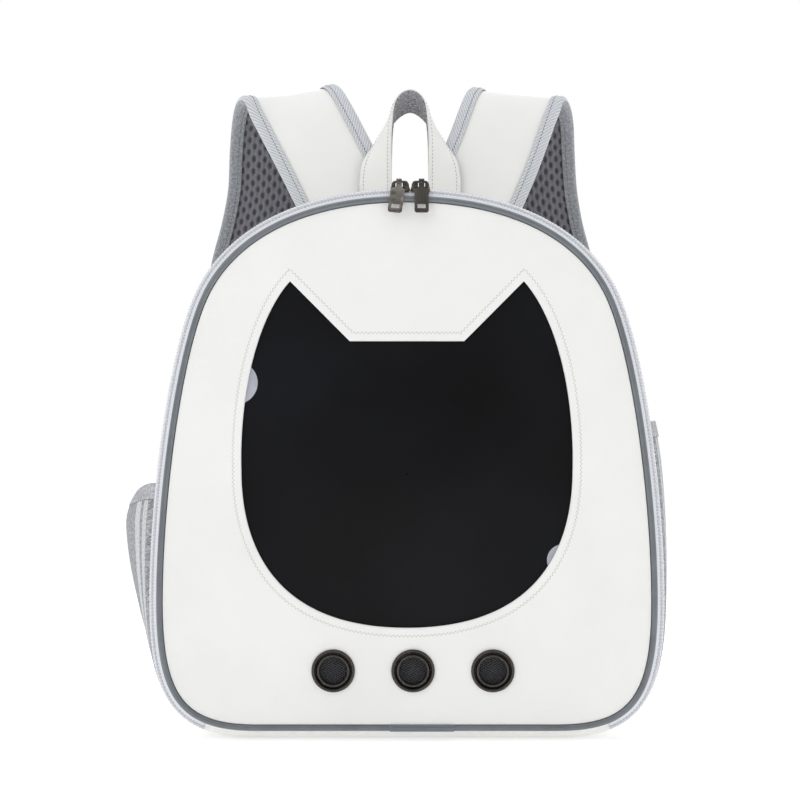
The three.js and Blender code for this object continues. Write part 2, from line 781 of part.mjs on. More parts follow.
// mirror is 1 for the left strap and -1 for the right one
function strapStations(mirror) {
  const [side, leanShare] = mirror > 0 ? ["left", 1] : ["right", rightStrapLean];
  const place = (row) => new THREE.Vector3(row[side], backSeamY + backPanelStandsOut + row.y, row.z);
  const width = (row) => {
    const [lean, turn] = [row.lean * leanShare * deg, row.turn * deg];
    return new THREE.Vector3(mirror * Math.cos(lean) * Math.cos(turn), Math.sin(turn), Math.sin(lean));
  };
  const line = new THREE.CatmullRomCurve3(strapTable.map(place), false, "centripetal");
  const widths = new THREE.CatmullRomCurve3(strapTable.map(width), false, "centripetal");
  const at = (t) => {
    const along = line.getTangent(t);
    const across = widths.getPoint(t);
    across.addScaledVector(along, -across.dot(along)).normalize();
    const out = across.clone().cross(along).multiplyScalar(mirror).normalize();
    return { point: line.getPoint(t), along, across, out };
  };
  return spread(0, 1, strapSteps, at, 2 * mostStep).map(at);
}

// One layer of the strap, in columns narrow enough to follow its twist
function strapLayerWall(stations, low, high) {
  const side = (height) =>
    stations.map(({ point, across, out }) =>
      range(-strapCoreWidth / 2, strapCoreWidth / 2, 3).map((w) =>
        point.clone().addScaledVector(across, w).addScaledVector(out, height)));
  return wall(side(high), side(low));
}

// The strap's outside is leather and its inside, towards the wearer, mesh
const strapHalf = strapLayer + strapLayerGap / 2;
const strapCoreWidth = strapWidth - 2 * (bindingThickness + bindingGap);

// A folded tape round one long edge; side is 1 at the inner edge and -1 at the outer
function bindingSection(side) {
  const edge = strapWidth / 2;
  const slot = strapHalf + bindingGap;
  const outside = slot + bindingThickness;
  const from = edge - bindingWidth;
  const section = [
    [from, -outside], [edge, -outside], [edge, outside], [from, outside],
    [from, slot], [edge - bindingThickness, slot], [edge - bindingThickness, -slot], [from, -slot],
  ];
  return section.map(([w, h]) => [side * w, h]);
}

// Lower webbing, adjuster and end tab

function lowerWebbing(mirror) {
  const stations = strapStations(mirror);
  const end = stations[stations.length - 1];
  const tabTop = end.point.clone().addScaledVector(end.along, gap + bindingThickness);
  const tabEnd = tabTop.clone().addScaledVector(end.along, endTabLength);
  const clear = 1 + adjusterHeight / 2;
  const adjusterMiddle = tabEnd.clone().addScaledVector(end.along, clear);
  const webbingTop = adjusterMiddle.clone().addScaledVector(end.along, clear);
  const footY = backSeamY + backPanelStandsOut + gap + webbingThickness / 2;
  const foot = (z) => new THREE.Vector3(mirror * webbingFootX, footY, z);
  const way = webbingTable.map(({ x, y, z }) => new THREE.Vector3(mirror * x, y, z).add(webbingTop));
  way.push(foot(webbingFootZ + webbingFootLength), foot(webbingFootZ));
  const line = new THREE.CatmullRomCurve3(way, false, "centripetal");
  const stationsDown = range(0, 1, 12).map((t) => {
    const point = line.getPoint(t);
    point.y = Math.max(point.y, footY);
    return { point, across: X, out: X.clone().cross(line.getTangent(t)).normalize() };
  });
  const tabStations = [tabTop, tabEnd].map((point) => ({ point, across: end.across, out: end.out }));
  return { end, adjusterMiddle, stationsDown, tabStations };
}

// A ladder-lock frame with two slots, laid in the strap's plane
function adjuster({ end, adjusterMiddle }) {
  const [w, h] = [adjusterWidth / 2, adjusterHeight / 2];
  const corner = 2.5;
  const frame = new THREE.Shape([
    [-w + corner, -h], [w - corner, -h], [w, -h + corner], [w, h - corner],
    [w - corner, h], [-w + corner, h], [-w, h - corner], [-w, -h + corner],
  ].map(([x, y]) => new THREE.Vector2(x, y)));
  for (const side of [-1, 1]) {
    const middle = side * adjusterSlot.fromCentre;
    const [sw, sh] = [adjusterSlot.width / 2, adjusterSlot.height / 2];
    frame.holes.push(new THREE.Path(
      [[-sw, middle - sh], [-sw, middle + sh], [sw, middle + sh], [sw, middle - sh]]
        .map(([x, y]) => new THREE.Vector2(x, y)),
    ));
  }
  const geometry = new THREE.ExtrudeGeometry(frame, { depth: adjusterThickness, bevelEnabled: false });
  geometry.translate(0, 0, -adjusterThickness / 2);
  const out = end.across.clone().cross(end.along);
  const basis = new THREE.Matrix4().makeBasis(end.across, end.along, out).setPosition(adjusterMiddle);
  return geometry.applyMatrix4(basis);
}

// Side pockets

// How far along the seam line a height is, on the +X side
function seamShareAtHeight(z) {
  let [low, high] = [baseEnd, 0.5];
  for (let i = 0; i < 40; i++) {
    const middle = (low + high) / 2;
    if (seamAt(middle).point.z < z) low = middle;
    else high = middle;
  }
  return low;
}

// The section's run at a y in its straight middle
const shoulderRun = sectionTable.find((row) => row.y >= frontSeamY + shoulderDepth).run;
const runAtY = (y) => shoulderRun + y - (frontSeamY + shoulderDepth);

// A point of a pocket's sheet: u from the front edge to the back, v from the bottom to the mouth
function pocketPoint(row, u, v, depth) {
  const low = seamShareAtHeight(pocketBottomZ);
  const high = seamShareAtHeight(row.mouthZ);
  const s = low + (high - low) * v;
  const fullness = Math.sin(u * 180 * deg) ** row.fullness * Math.sin(v * 90 * deg) ** 1.3;
  const a = runAtY(pocketFrontY) + (pocketBackY - pocketFrontY) * u;
  const lift = gap + row.bulge * fullness;
  const point = skin(s, a, -lift - pocketThickness + depth);
  point.z -= row.sag * Math.sin(u * 180 * deg) * v * v;
  if (row.sign < 0) point.x = -point.x;
  return point;
}

// Its rows fall on the gusset's own stations, so that the two keep their distance
function pocketSheet(row, vFrom, vTo, above) {
  const low = seamShareAtHeight(pocketBottomZ);
  const high = seamShareAtHeight(row.mouthZ);
  const between = archStations.map((s) => (s - low) / (high - low)).filter((v) => v > vFrom && v < vTo);
  const vValues = [vFrom, ...between, vTo];
  const grid = (depth) =>
    range(0, 1, 9).map((u) => vValues.map((v) => pocketPoint(row, u, v, depth)));
  return wall(grid(-above), grid(pocketThickness));
}

// The group of named pieces

const leather = { color: 0xf2f1ec, roughness: 0.45 };
const silverTape = { color: 0xd3d7dd, roughness: 0.8 };
const greyPiping = { color: 0x8f959c, roughness: 0.4 };
const greyMesh = { color: 0x77777d, roughness: 0.9 };
const darkMetal = { color: 0x6f6a64, roughness: 0.3, metalness: 0.9 };
const blackFilm = { color: 0x0d0e10, roughness: 0.12 };
const blackMesh = { color: 0x15171c, roughness: 0.9 };
const plastic = { color: 0xb9bcc1, roughness: 0.5 };

const backpack = new THREE.Group();
backpack.name = "pet_carrier_backpack";

function add(name, geometry, finish, parent = backpack) {
  const mesh = new THREE.Mesh(geometry, new THREE.MeshStandardMaterial(finish));
  mesh.name = name;
  parent.add(mesh);
  return mesh;
}

// Shell
add("front_panel", frontPanel(), leather);
add("window", window(), blackFilm);
for (const row of tabTable) add(row.name, filmTab(row), { color: 0xb4b5c0, roughness: 0.3 });
add("front_piping", piping(frontSeamY), greyPiping);
add("piping_sleeve", pipingSleeve(), greyPiping);
const tapeWall = (runs) => skinWall(archStations, runs, 0, tapeThickness);
add("zip_tape_front", tapeWall(range(...frontTape, 1)), silverTape);
const chainWall = skinWall(archStations, chain, chainStandsOut, chainThickness - chainStandsOut);
add("zip_chain", chainWall, silverTape);
add("zip_tape_rear", tapeWall(range(...rearTape, 2)), silverTape);
const backShoulder = sectionLength - shoulderDepth;
const gussetRuns = [gusset[0], ...range(backShoulder, gusset[1], 3)];
add("side_gusset", skinWall(archStations, gussetRuns, 0, gussetThickness), leather);
const frontShoulder = shoulderDepth + gap;
const baseRuns = [
  ...range(seamEdge, frontShoulder, 3), ...range(backShoulder, sectionLength - seamEdge, 3),
];
add("base_panel", skinWall(baseStations, baseRuns, 0, baseThickness), leather);
add("back_piping", piping(backSeamY), greyPiping);
add("back_panel", backPanel(), greyMesh);

// Air eyelets
eyeletNames.forEach((name, i) => {
  const { point, out } = eyeletPlace(i);
  const seat = new THREE.Group();
  seat.position.copy(point);
  seat.quaternion.setFromUnitVectors(up, out);
  backpack.add(seat);
  add("eyelet_" + name, eyelet(), darkMetal, seat);
  add("eyelet_mesh_" + name, eyeletMesh(), blackMesh, seat);
});

// Sliders and pulls
for (const [side, sign] of [["left", -1], ["right", 1]]) {
  const seat = new THREE.Group();
  seat.position.set(slidersMeetX + sign * gap, chainTop.y, chainTop.z);
  seat.rotation.x = chainTilt;
  backpack.add(seat);
  const body = add("zip_slider_" + side, slider(), darkMetal, seat);
  if (sign < 0) body.rotation.z = 180 * deg;
  const hang = new THREE.Group();
  hang.position.set(slidersMeetX + sign * pullFromMeeting, barCentre.y, barCentre.z);
  hang.rotation.x = -pullRest;
  backpack.add(hang);
  add("zip_pull_" + side, pull(pullLean[side]), darkMetal, hang);
}

// Handle
const handleMiddle = gap / 2;
add("handle_cover", handleBand(handleMiddle, handleMiddle + handleLayer), leather);
add("handle_webbing", handleBand(-handleMiddle - handleLayer, -handleMiddle), greyMesh);

// Straps
for (const [side, mirror] of [["left", 1], ["right", -1]]) {
  const stations = strapStations(mirror);
  add("strap_face_" + side, strapLayerWall(stations, strapLayerGap / 2, strapHalf), leather);
  add("strap_mesh_" + side, strapLayerWall(stations, -strapHalf, -strapLayerGap / 2), greyMesh);
  add("strap_binding_inner_" + side, sweep(stations, bindingSection(1)), silverTape);
  add("strap_binding_outer_" + side, sweep(stations, bindingSection(-1)), silverTape);
  const lower = lowerWebbing(mirror);
  const webbing = rectangle(webbingWidth, -webbingThickness / 2, webbingThickness / 2);
  add("strap_end_tab_" + side, sweep(lower.tabStations, webbing), silverTape);
  add("strap_adjuster_" + side, adjuster(lower), plastic);
  add("strap_webbing_" + side, sweep(lower.stationsDown, webbing), silverTape);
}

// Pockets
for (const row of pocketTable) {
  const height = row.mouthZ - pocketBottomZ;
  const bandFrom = 1 - pocketBandHeight / height;
  const bandExtra = pocketBandThickness - pocketThickness;
  add("pocket_" + row.side, pocketSheet(row, 0, bandFrom - gap / height, 0), greyMesh);
  add("pocket_band_" + row.side, pocketSheet(row, bandFrom, 1, bandExtra), silverTape);
}

export default backpack;
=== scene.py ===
import math
import bpy
import bmesh
import numpy as np
from mathutils import Matrix, Vector


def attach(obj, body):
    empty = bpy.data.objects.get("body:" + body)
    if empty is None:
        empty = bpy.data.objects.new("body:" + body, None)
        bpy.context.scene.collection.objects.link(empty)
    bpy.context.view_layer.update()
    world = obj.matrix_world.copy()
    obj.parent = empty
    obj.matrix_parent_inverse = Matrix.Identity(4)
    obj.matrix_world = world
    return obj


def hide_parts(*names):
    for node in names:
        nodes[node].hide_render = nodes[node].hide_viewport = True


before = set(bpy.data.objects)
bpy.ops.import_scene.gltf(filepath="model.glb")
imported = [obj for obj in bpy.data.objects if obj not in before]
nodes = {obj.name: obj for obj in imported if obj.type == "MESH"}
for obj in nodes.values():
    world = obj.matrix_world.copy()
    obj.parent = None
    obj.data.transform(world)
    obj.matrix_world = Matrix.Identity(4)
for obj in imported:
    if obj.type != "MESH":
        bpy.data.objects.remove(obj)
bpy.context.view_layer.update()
print("frame loaded:", len(nodes), "nodes")

# Sizes below are millimetres, and a mesh is scaled to metres when it is made.
# +Z is up, the front panel faces -Y, and left is -X, as seen by someone who looks at the front.
metre = 0.001

# Camera and light

studio = {
    "cameraPlace": (0, -2.515, 0.216),
    "lens": 145,
    "shift": (-0.0087, 0.0625),
    "floorSize": 60,
}


def addCamera():
    data = bpy.data.cameras.new("photoCamera")
    data.lens = studio["lens"]
    data.sensor_width = 36
    data.shift_x, data.shift_y = studio["shift"]
    camera = bpy.data.objects.new("photoCamera", data)
    camera.location = studio["cameraPlace"]
    camera.rotation_euler = (math.radians(90), 0, 0)
    bpy.context.collection.objects.link(camera)
    bpy.context.scene.camera = camera


def addSoftbox(name, place, aim, size, power):
    data = bpy.data.lights.new(name, "AREA")
    data.shape = "RECTANGLE"
    data.size, data.size_y = size
    data.energy = power
    lamp = bpy.data.objects.new(name, data)
    lamp.location = place
    lamp.rotation_euler = (Vector(aim) - Vector(place)).to_track_quat("-Z", "Y").to_euler()
    bpy.context.collection.objects.link(lamp)


def addWorld():
    world = bpy.data.worlds.new("whiteStudio")
    bpy.context.scene.world = world
    world.use_nodes = True
    tree = world.node_tree
    ground = tree.nodes["Background"]
    ramp = tree.nodes.new("ShaderNodeValToRGB")
    ramp.color_ramp.elements[0].position = 0.1
    ramp.color_ramp.elements[0].color = (0.5, 0.5, 0.51, 1)
    ramp.color_ramp.elements[1].position = 0.75
    ramp.color_ramp.elements[1].color = (1, 1, 1, 1)
    split = tree.nodes.new("ShaderNodeSeparateXYZ")
    place = tree.nodes.new("ShaderNodeTexCoord")
    spread = tree.nodes.new("ShaderNodeMapRange")
    spread.inputs["From Min"].default_value = -1
    tree.links.new(place.outputs["Generated"], split.inputs[0])
    tree.links.new(split.outputs["Y"], spread.inputs["Value"])
    tree.links.new(spread.outputs["Result"], ramp.inputs["Fac"])
    tree.links.new(ramp.outputs["Color"], ground.inputs["Color"])
    ground.inputs["Strength"].default_value = 1.0


addCamera()
addWorld()
addSoftbox("keyLight", (-1.7, -1.9, 1.7), (0, 0, 0.2), (1.4, 1.4), 9)
addSoftbox("fillLight", (1.9, -1.6, 1.0), (0, 0, 0.2), (1.2, 1.6), 3)
addSoftbox("topLight", (0, -0.2, 2.4), (0, 0, 0), (2.6, 2.6), 11)
addSoftbox("backLight", (0.4, 2.2, 1.6), (0, 0, 0.2), (1.6, 1.2), 4)
bpy.context.scene.view_settings.view_transform = "Standard"
print("camera and lights ready")

# Shader helpers


def mathStep(tree, operation, *values):
    node = tree.nodes.new("ShaderNodeMath")
    node.operation = operation
    for socket, value in zip(node.inputs, values):
        feed(tree, socket, value)
    return node.outputs[0]


def feed(tree, socket, value):
    if isinstance(value, bpy.types.NodeSocket):
        tree.links.new(value, socket)
    else:
        socket.default_value = value


def mixColours(tree, share, first, second):
    node = tree.nodes.new("ShaderNodeMix")
    node.data_type = "RGBA"
    feed(tree, node.inputs[0], share)
    feed(tree, node.inputs[6], first)
    feed(tree, node.inputs[7], second)
    return node.outputs[2]


def remap(tree, value, low, high, toLow=0.0, toHigh=1.0):
    node = tree.nodes.new("ShaderNodeMapRange")
    for socket, number in zip(node.inputs, (value, low, high, toLow, toHigh)):
        feed(tree, socket, number)
    return node.outputs[0]


def noise(tree, vector, scale, detail=2.0, roughness=0.5):
    node = tree.nodes.new("ShaderNodeTexNoise")
    feed(tree, node.inputs["Vector"], vector)
    feed(tree, node.inputs["Scale"], scale)
    node.inputs["Detail"].default_value = detail
    node.inputs["Roughness"].default_value = roughness
    return node.outputs[0]


def startGroup(name, inputs, outputs):
    group = bpy.data.node_groups.new(name, "ShaderNodeTree")
    for label, kind, value in inputs:
        socket = group.interface.new_socket(name=label, in_out="INPUT", socket_type="NodeSocket" + kind)
        if value is not None:
            socket.default_value = value
    for label, kind in outputs:
        group.interface.new_socket(name=label, in_out="OUTPUT", socket_type="NodeSocket" + kind)
    return group, group.nodes.new("NodeGroupInput").outputs, group.nodes.new("NodeGroupOutput").inputs


def placeGroup(tree, group, **values):
    node = tree.nodes.new("ShaderNodeGroup")
    node.node_tree = group
    for label, value in values.items():
        feed(tree, node.inputs[label], value)
    return node.outputs


# Fine pebble of coated leather, with soft waves as it lies over its backing
def leatherGrainGroup():
    group, given, made = startGroup(
        "leatherGrain",
        [("Place", "Vector", None), ("Pebble", "Float", 900.0), ("Waves", "Float", 0.5)],
        [("Height", "Float"), ("Shade", "Float")],
    )
    cells = group.nodes.new("ShaderNodeTexVoronoi")
    cells.feature = "SMOOTH_F1"
    feed(group, cells.inputs["Vector"], given["Place"])
    feed(group, cells.inputs["Scale"], given["Pebble"])
    fine = noise(group, given["Place"], 340.0, 3.0)
    wide = noise(group, given["Place"], 16.0, 2.0)
    pebble = mathStep(group, "MULTIPLY", cells.outputs["Distance"], 0.5)
    grain = mathStep(group, "ADD", pebble, mathStep(group, "MULTIPLY", fine, 0.6))
    waves = mathStep(group, "MULTIPLY", wide, given["Waves"])
    group.links.new(mathStep(group, "ADD", grain, waves), made["Height"])
    group.links.new(remap(group, wide, 0.3, 0.7), made["Shade"])
    return group


# Diagonal ribs of a twill tape, broken into threads; Place is in metres across and along the tape
def twillGroup():
    group, given, made = startGroup(
        "twill",
        [("Place", "Vector", None), ("Pitch", "Float", 0.0012), ("Slope", "Float", 1.0)],
        [("Height", "Float"), ("Ribs", "Float")],
    )
    split = group.nodes.new("ShaderNodeSeparateXYZ")
    feed(group, split.inputs[0], given["Place"])
    turn = mathStep(group, "DIVIDE", 2 * math.pi, given["Pitch"])
    leaning = mathStep(group, "MULTIPLY_ADD", split.outputs["Y"], given["Slope"], split.outputs["X"])
    rib = mathStep(group, "SINE", mathStep(group, "MULTIPLY", leaning, turn))
    across = mathStep(group, "SUBTRACT", split.outputs["X"], split.outputs["Y"])
    fineTurn = mathStep(group, "MULTIPLY", turn, 1.7)
    threads = mathStep(group, "SINE", mathStep(group, "MULTIPLY", across, fineTurn))
    both = mathStep(group, "MULTIPLY_ADD", threads, 0.3, rib)
    group.links.new(both, made["Height"])
    group.links.new(remap(group, both, -1.3, 1.3), made["Ribs"])
    return group


# Hexagon cells of an air mesh, from three waves at sixty degrees; Holes marks the sunk cells, which the
# materials colour darker as painted shade
def airMeshGroup():
    group, given, made = startGroup(
        "airMesh",
        [("Place", "Vector", None), ("Pitch", "Float", 0.005), ("Stretch", "Float", 1.0)],
        [("Height", "Float"), ("Holes", "Float")],
    )
    split = group.nodes.new("ShaderNodeSeparateXYZ")
    feed(group, split.inputs[0], given["Place"])
    turn = mathStep(group, "DIVIDE", 2 * math.pi, given["Pitch"])
    x = mathStep(group, "MULTIPLY", split.outputs["X"], turn)
    y = mathStep(group, "MULTIPLY", mathStep(group, "MULTIPLY", split.outputs["Y"], given["Stretch"]), turn)
    total = mathStep(group, "COSINE", x)
    for sixtyDegrees in (0.866, -0.866):
        tilted = mathStep(group, "MULTIPLY_ADD", y, sixtyDegrees, mathStep(group, "MULTIPLY", x, -0.5))
        total = mathStep(group, "ADD", total, mathStep(group, "COSINE", tilted))
    threads = noise(group, given["Place"], 2600.0, 1.0)
    height = mathStep(group, "MULTIPLY_ADD", threads, 0.7, mathStep(group, "MULTIPLY", total, -1.0))
    group.links.new(height, made["Height"])
    group.links.new(remap(group, total, 0.2, 1.6), made["Holes"])
    return group


# Salt and pepper of melange yarn
def melangeGroup():
    group, given, made = startGroup(
        "melange",
        [("Place", "Vector", None), ("Grain", "Float", 700.0),
         ("Dark", "Color", (0.1, 0.1, 0.1, 1)), ("Light", "Color", (0.5, 0.5, 0.5, 1))],
        [("Color", "Color"), ("Height", "Float")],
    )
    coarse = noise(group, given["Place"], given["Grain"], 3.0, 0.8)
    share = remap(group, coarse, 0.4, 0.62)
    group.links.new(mixColours(group, share, given["Dark"], given["Light"]), made["Color"])
    group.links.new(coarse, made["Height"])
    return group


# Worn and dusty places: 1 where an edge stands out, broken by noise
def edgeWearGroup():
    group, given, made = startGroup(
        "edgeWear",
        [("Place", "Vector", None), ("Amount", "Float", 1.0)],
        [("Mask", "Float")],
    )
    form = group.nodes.new("ShaderNodeNewGeometry")
    edges = remap(group, form.outputs["Pointiness"], 0.52, 0.6)
    patches = remap(group, noise(group, given["Place"], 160.0, 4.0), 0.35, 0.65)
    broken = mathStep(group, "MULTIPLY", edges, patches)
    group.links.new(mathStep(group, "MULTIPLY", broken, given["Amount"]), made["Mask"])
    return group


leatherGrain = leatherGrainGroup()
twill = twillGroup()
airMesh = airMeshGroup()
melange = melangeGroup()
edgeWear = edgeWearGroup()

# Materials


def startMaterial(name, **sockets):
    material = bpy.data.materials.new(name)
    material.use_nodes = True
    shader = material.node_tree.nodes["Principled BSDF"]
    for label, value in sockets.items():
        shader.inputs[label.replace("_", " ")].default_value = value
    return material, material.node_tree, shader


def coordinates(tree, kind):
    return tree.nodes.new("ShaderNodeTexCoord").outputs[kind]


def addBump(tree, shader, height, distance, strength=1.0):
    bump = tree.nodes.new("ShaderNodeBump")
    bump.inputs["Strength"].default_value = strength
    bump.inputs["Distance"].default_value = distance
    tree.links.new(height, bump.inputs["Height"])
    tree.links.new(bump.outputs["Normal"], shader.inputs["Normal"])


def whiteLeather(name, light, shade, waves):
    material, tree, shader = startMaterial(name, Roughness=0.42, Coat_Roughness=0.35)
    shader.inputs["Specular IOR Level"].default_value = 0.35
    place = coordinates(tree, "Object")
    grain = placeGroup(tree, leatherGrain, Place=place, Pebble=850.0, Waves=waves)
    wear = placeGroup(tree, edgeWear, Place=place, Amount=0.35)["Mask"]
    base = mixColours(tree, grain["Shade"], (*shade, 1), (*light, 1))
    tree.links.new(mixColours(tree, wear, base, (0.62, 0.62, 0.61, 1)), shader.inputs["Base Color"])
    tree.links.new(remap(tree, grain["Height"], 0.2, 1.1, 0.5, 0.36), shader.inputs["Roughness"])
    addBump(tree, shader, grain["Height"], 0.00022, 0.55)
    return material


# Window film, opaque and near black: part is the film's own smoked tint, part is painted shade of the dark
# inside of the bag seen through it
def filmWithInteriorShade():
    material, tree, shader = startMaterial("filmWithInteriorShade", Coat_Weight=0.04, Coat_Roughness=0.3)
    shader.inputs["Specular IOR Level"].default_value = 0.09
    place = coordinates(tree, "Object")
    haze = remap(tree, noise(tree, place, 7.0, 2.0), 0.35, 0.7)
    # near-black colour of the film tint and the painted interior shade, varied at random by the haze noise
    tint = mixColours(tree, haze, (0.0035, 0.0035, 0.004, 1), (0.0075, 0.008, 0.0105, 1))
    tree.links.new(tint, shader.inputs["Base Color"])
    smears = noise(tree, place, 60.0, 4.0)
    tree.links.new(remap(tree, smears, 0.3, 0.7, 0.3, 0.42), shader.inputs["Roughness"])
    addBump(tree, shader, noise(tree, place, 11.0, 1.0), 0.0012, 0.35)
    return material


def clearTab():
    material, tree, shader = startMaterial("clearTab", Roughness=0.3)
    place = coordinates(tree, "Object")
    cloud = noise(tree, place, 120.0, 3.0)
    tint = mixColours(tree, cloud, (0.36, 0.37, 0.42, 1), (0.5, 0.51, 0.57, 1))
    tree.links.new(tint, shader.inputs["Base Color"])
    tree.links.new(remap(tree, cloud, 0.3, 0.7, 0.2, 0.35), shader.inputs["Roughness"])
    return material


def glossPiping():
    material, tree, shader = startMaterial("glossPiping", Coat_Weight=0.8, Coat_Roughness=0.12)
    place = coordinates(tree, "Object")
    wear = placeGroup(tree, edgeWear, Place=place, Amount=0.4)["Mask"]
    cloud = noise(tree, place, 45.0, 3.0)
    base = mixColours(tree, cloud, (0.085, 0.1, 0.115, 1), (0.15, 0.17, 0.19, 1))
    tree.links.new(mixColours(tree, wear, base, (0.3, 0.32, 0.34, 1)), shader.inputs["Base Color"])
    smears = noise(tree, place, 300.0, 2.0)
    tree.links.new(remap(tree, smears, 0.3, 0.7, 0.28, 0.4), shader.inputs["Roughness"])
    addBump(tree, shader, noise(tree, place, 420.0, 2.0), 0.0001, 0.4)
    return material


def wovenTape(name, dark, light, pitch, slope, depth=0.00018):
    material, tree, shader = startMaterial(name, Sheen_Weight=0.25, Sheen_Roughness=0.45)
    shader.inputs["Specular IOR Level"].default_value = 0.25
    place = coordinates(tree, "UV")
    weave = placeGroup(tree, twill, Place=place, Pitch=pitch, Slope=slope)
    flecks = noise(tree, place, 900.0, 2.0)
    share = mathStep(tree, "MULTIPLY_ADD", weave["Ribs"], 0.75, mathStep(tree, "MULTIPLY", flecks, 0.35))
    tree.links.new(mixColours(tree, share, (*dark, 1), (*light, 1)), shader.inputs["Base Color"])
    tree.links.new(remap(tree, flecks, 0.3, 0.7, 0.55, 0.8), shader.inputs["Roughness"])
    addBump(tree, shader, weave["Height"], depth, 0.8)
    return material


def airMeshFabric(name, thread, hole, pitch, stretch):
    material, tree, shader = startMaterial(name, Roughness=0.85, Sheen_Weight=0.35, Sheen_Roughness=0.5)
    shader.inputs["Specular IOR Level"].default_value = 0.2
    place = coordinates(tree, "UV")
    cells = placeGroup(tree, airMesh, Place=place, Pitch=pitch, Stretch=stretch)
    flecks = noise(tree, place, 1500.0, 2.0)
    shaded, bright = (tuple(share * c for c in thread) + (1,) for share in (0.72, 1.25))
    lit = mixColours(tree, flecks, shaded, bright)
    # the hole colour darkens the sunk hex cells: painted shade in the mesh holes
    tree.links.new(mixColours(tree, cells["Holes"], lit, (*hole, 1)), shader.inputs["Base Color"])
    tree.links.new(remap(tree, cells["Holes"], 0.0, 1.0, 0.75, 0.95), shader.inputs["Roughness"])
    addBump(tree, shader, cells["Height"], 0.0006, 0.9)
    return material


def melangeFabric(name, dark, light, grain, ribPitch, ribSlope, ribDepth):
    material, tree, shader = startMaterial(name, Roughness=0.85, Sheen_Weight=0.3, Sheen_Roughness=0.5)
    shader.inputs["Specular IOR Level"].default_value = 0.2
    place = coordinates(tree, "UV")
    yarn = placeGroup(tree, melange, Place=place, Grain=grain, Dark=(*dark, 1), Light=(*light, 1))
    ribs = placeGroup(tree, twill, Place=place, Pitch=ribPitch, Slope=ribSlope)
    shaded = mixColours(tree, mathStep(tree, "MULTIPLY", ribs["Ribs"], 0.45), yarn["Color"], (*light, 1))
    tree.links.new(shaded, shader.inputs["Base Color"])
    tree.links.new(remap(tree, yarn["Height"], 0.3, 0.7, 0.7, 0.95), shader.inputs["Roughness"])
    height = mathStep(tree, "MULTIPLY_ADD", yarn["Height"], 1.2, ribs["Height"])
    addBump(tree, shader, height, ribDepth, 0.8)
    return material


def gunmetal():
    material, tree, shader = startMaterial("gunmetal", Metallic=1.0)
    place = coordinates(tree, "Object")
    stretch = tree.nodes.new("ShaderNodeMapping")
    stretch.inputs["Scale"].default_value = (1, 1, 0.06)
    tree.links.new(place, stretch.inputs["Vector"])
    brush = noise(tree, stretch.outputs[0], 2600.0, 3.0)
    tone = noise(tree, place, 130.0, 3.0)
    share = mathStep(tree, "MULTIPLY_ADD", brush, 0.5, mathStep(tree, "MULTIPLY", tone, 0.5))
    base = mixColours(tree, share, (0.03, 0.027, 0.024, 1), (0.1, 0.091, 0.082, 1))
    wear = placeGroup(tree, edgeWear, Place=place, Amount=0.5)["Mask"]
    tree.links.new(mixColours(tree, wear, base, (0.34, 0.315, 0.29, 1)), shader.inputs["Base Color"])
    tree.links.new(remap(tree, share, 0.3, 0.7, 0.2, 0.36), shader.inputs["Roughness"])
    addBump(tree, shader, brush, 0.00005, 0.5)
    return material


def mouldedPlastic():
    material, tree, shader = startMaterial("mouldedPlastic", Roughness=0.5)
    place = coordinates(tree, "Object")
    grit = noise(tree, place, 1400.0, 2.0)
    wear = placeGroup(tree, edgeWear, Place=place, Amount=0.6)["Mask"]
    base = mixColours(tree, noise(tree, place, 90.0, 2.0), (0.3, 0.31, 0.33, 1), (0.38, 0.39, 0.41, 1))
    tree.links.new(mixColours(tree, wear, base, (0.55, 0.56, 0.58, 1)), shader.inputs["Base Color"])
    tree.links.new(remap(tree, grit, 0.3, 0.7, 0.42, 0.6), shader.inputs["Roughness"])
    addBump(tree, shader, grit, 0.00008, 0.5)
    return material


def thread(name, dark, light):
    material, tree, shader = startMaterial(name, Roughness=0.7, Sheen_Weight=0.3)
    twist = noise(tree, coordinates(tree, "Object"), 2200.0, 2.0)
    tree.links.new(mixColours(tree, twist, (*dark, 1), (*light, 1)), shader.inputs["Base Color"])
    tree.links.new(remap(tree, twist, 0.3, 0.7, 0.6, 0.8), shader.inputs["Roughness"])
    addBump(tree, shader, twist, 0.0001, 0.5)
    return material


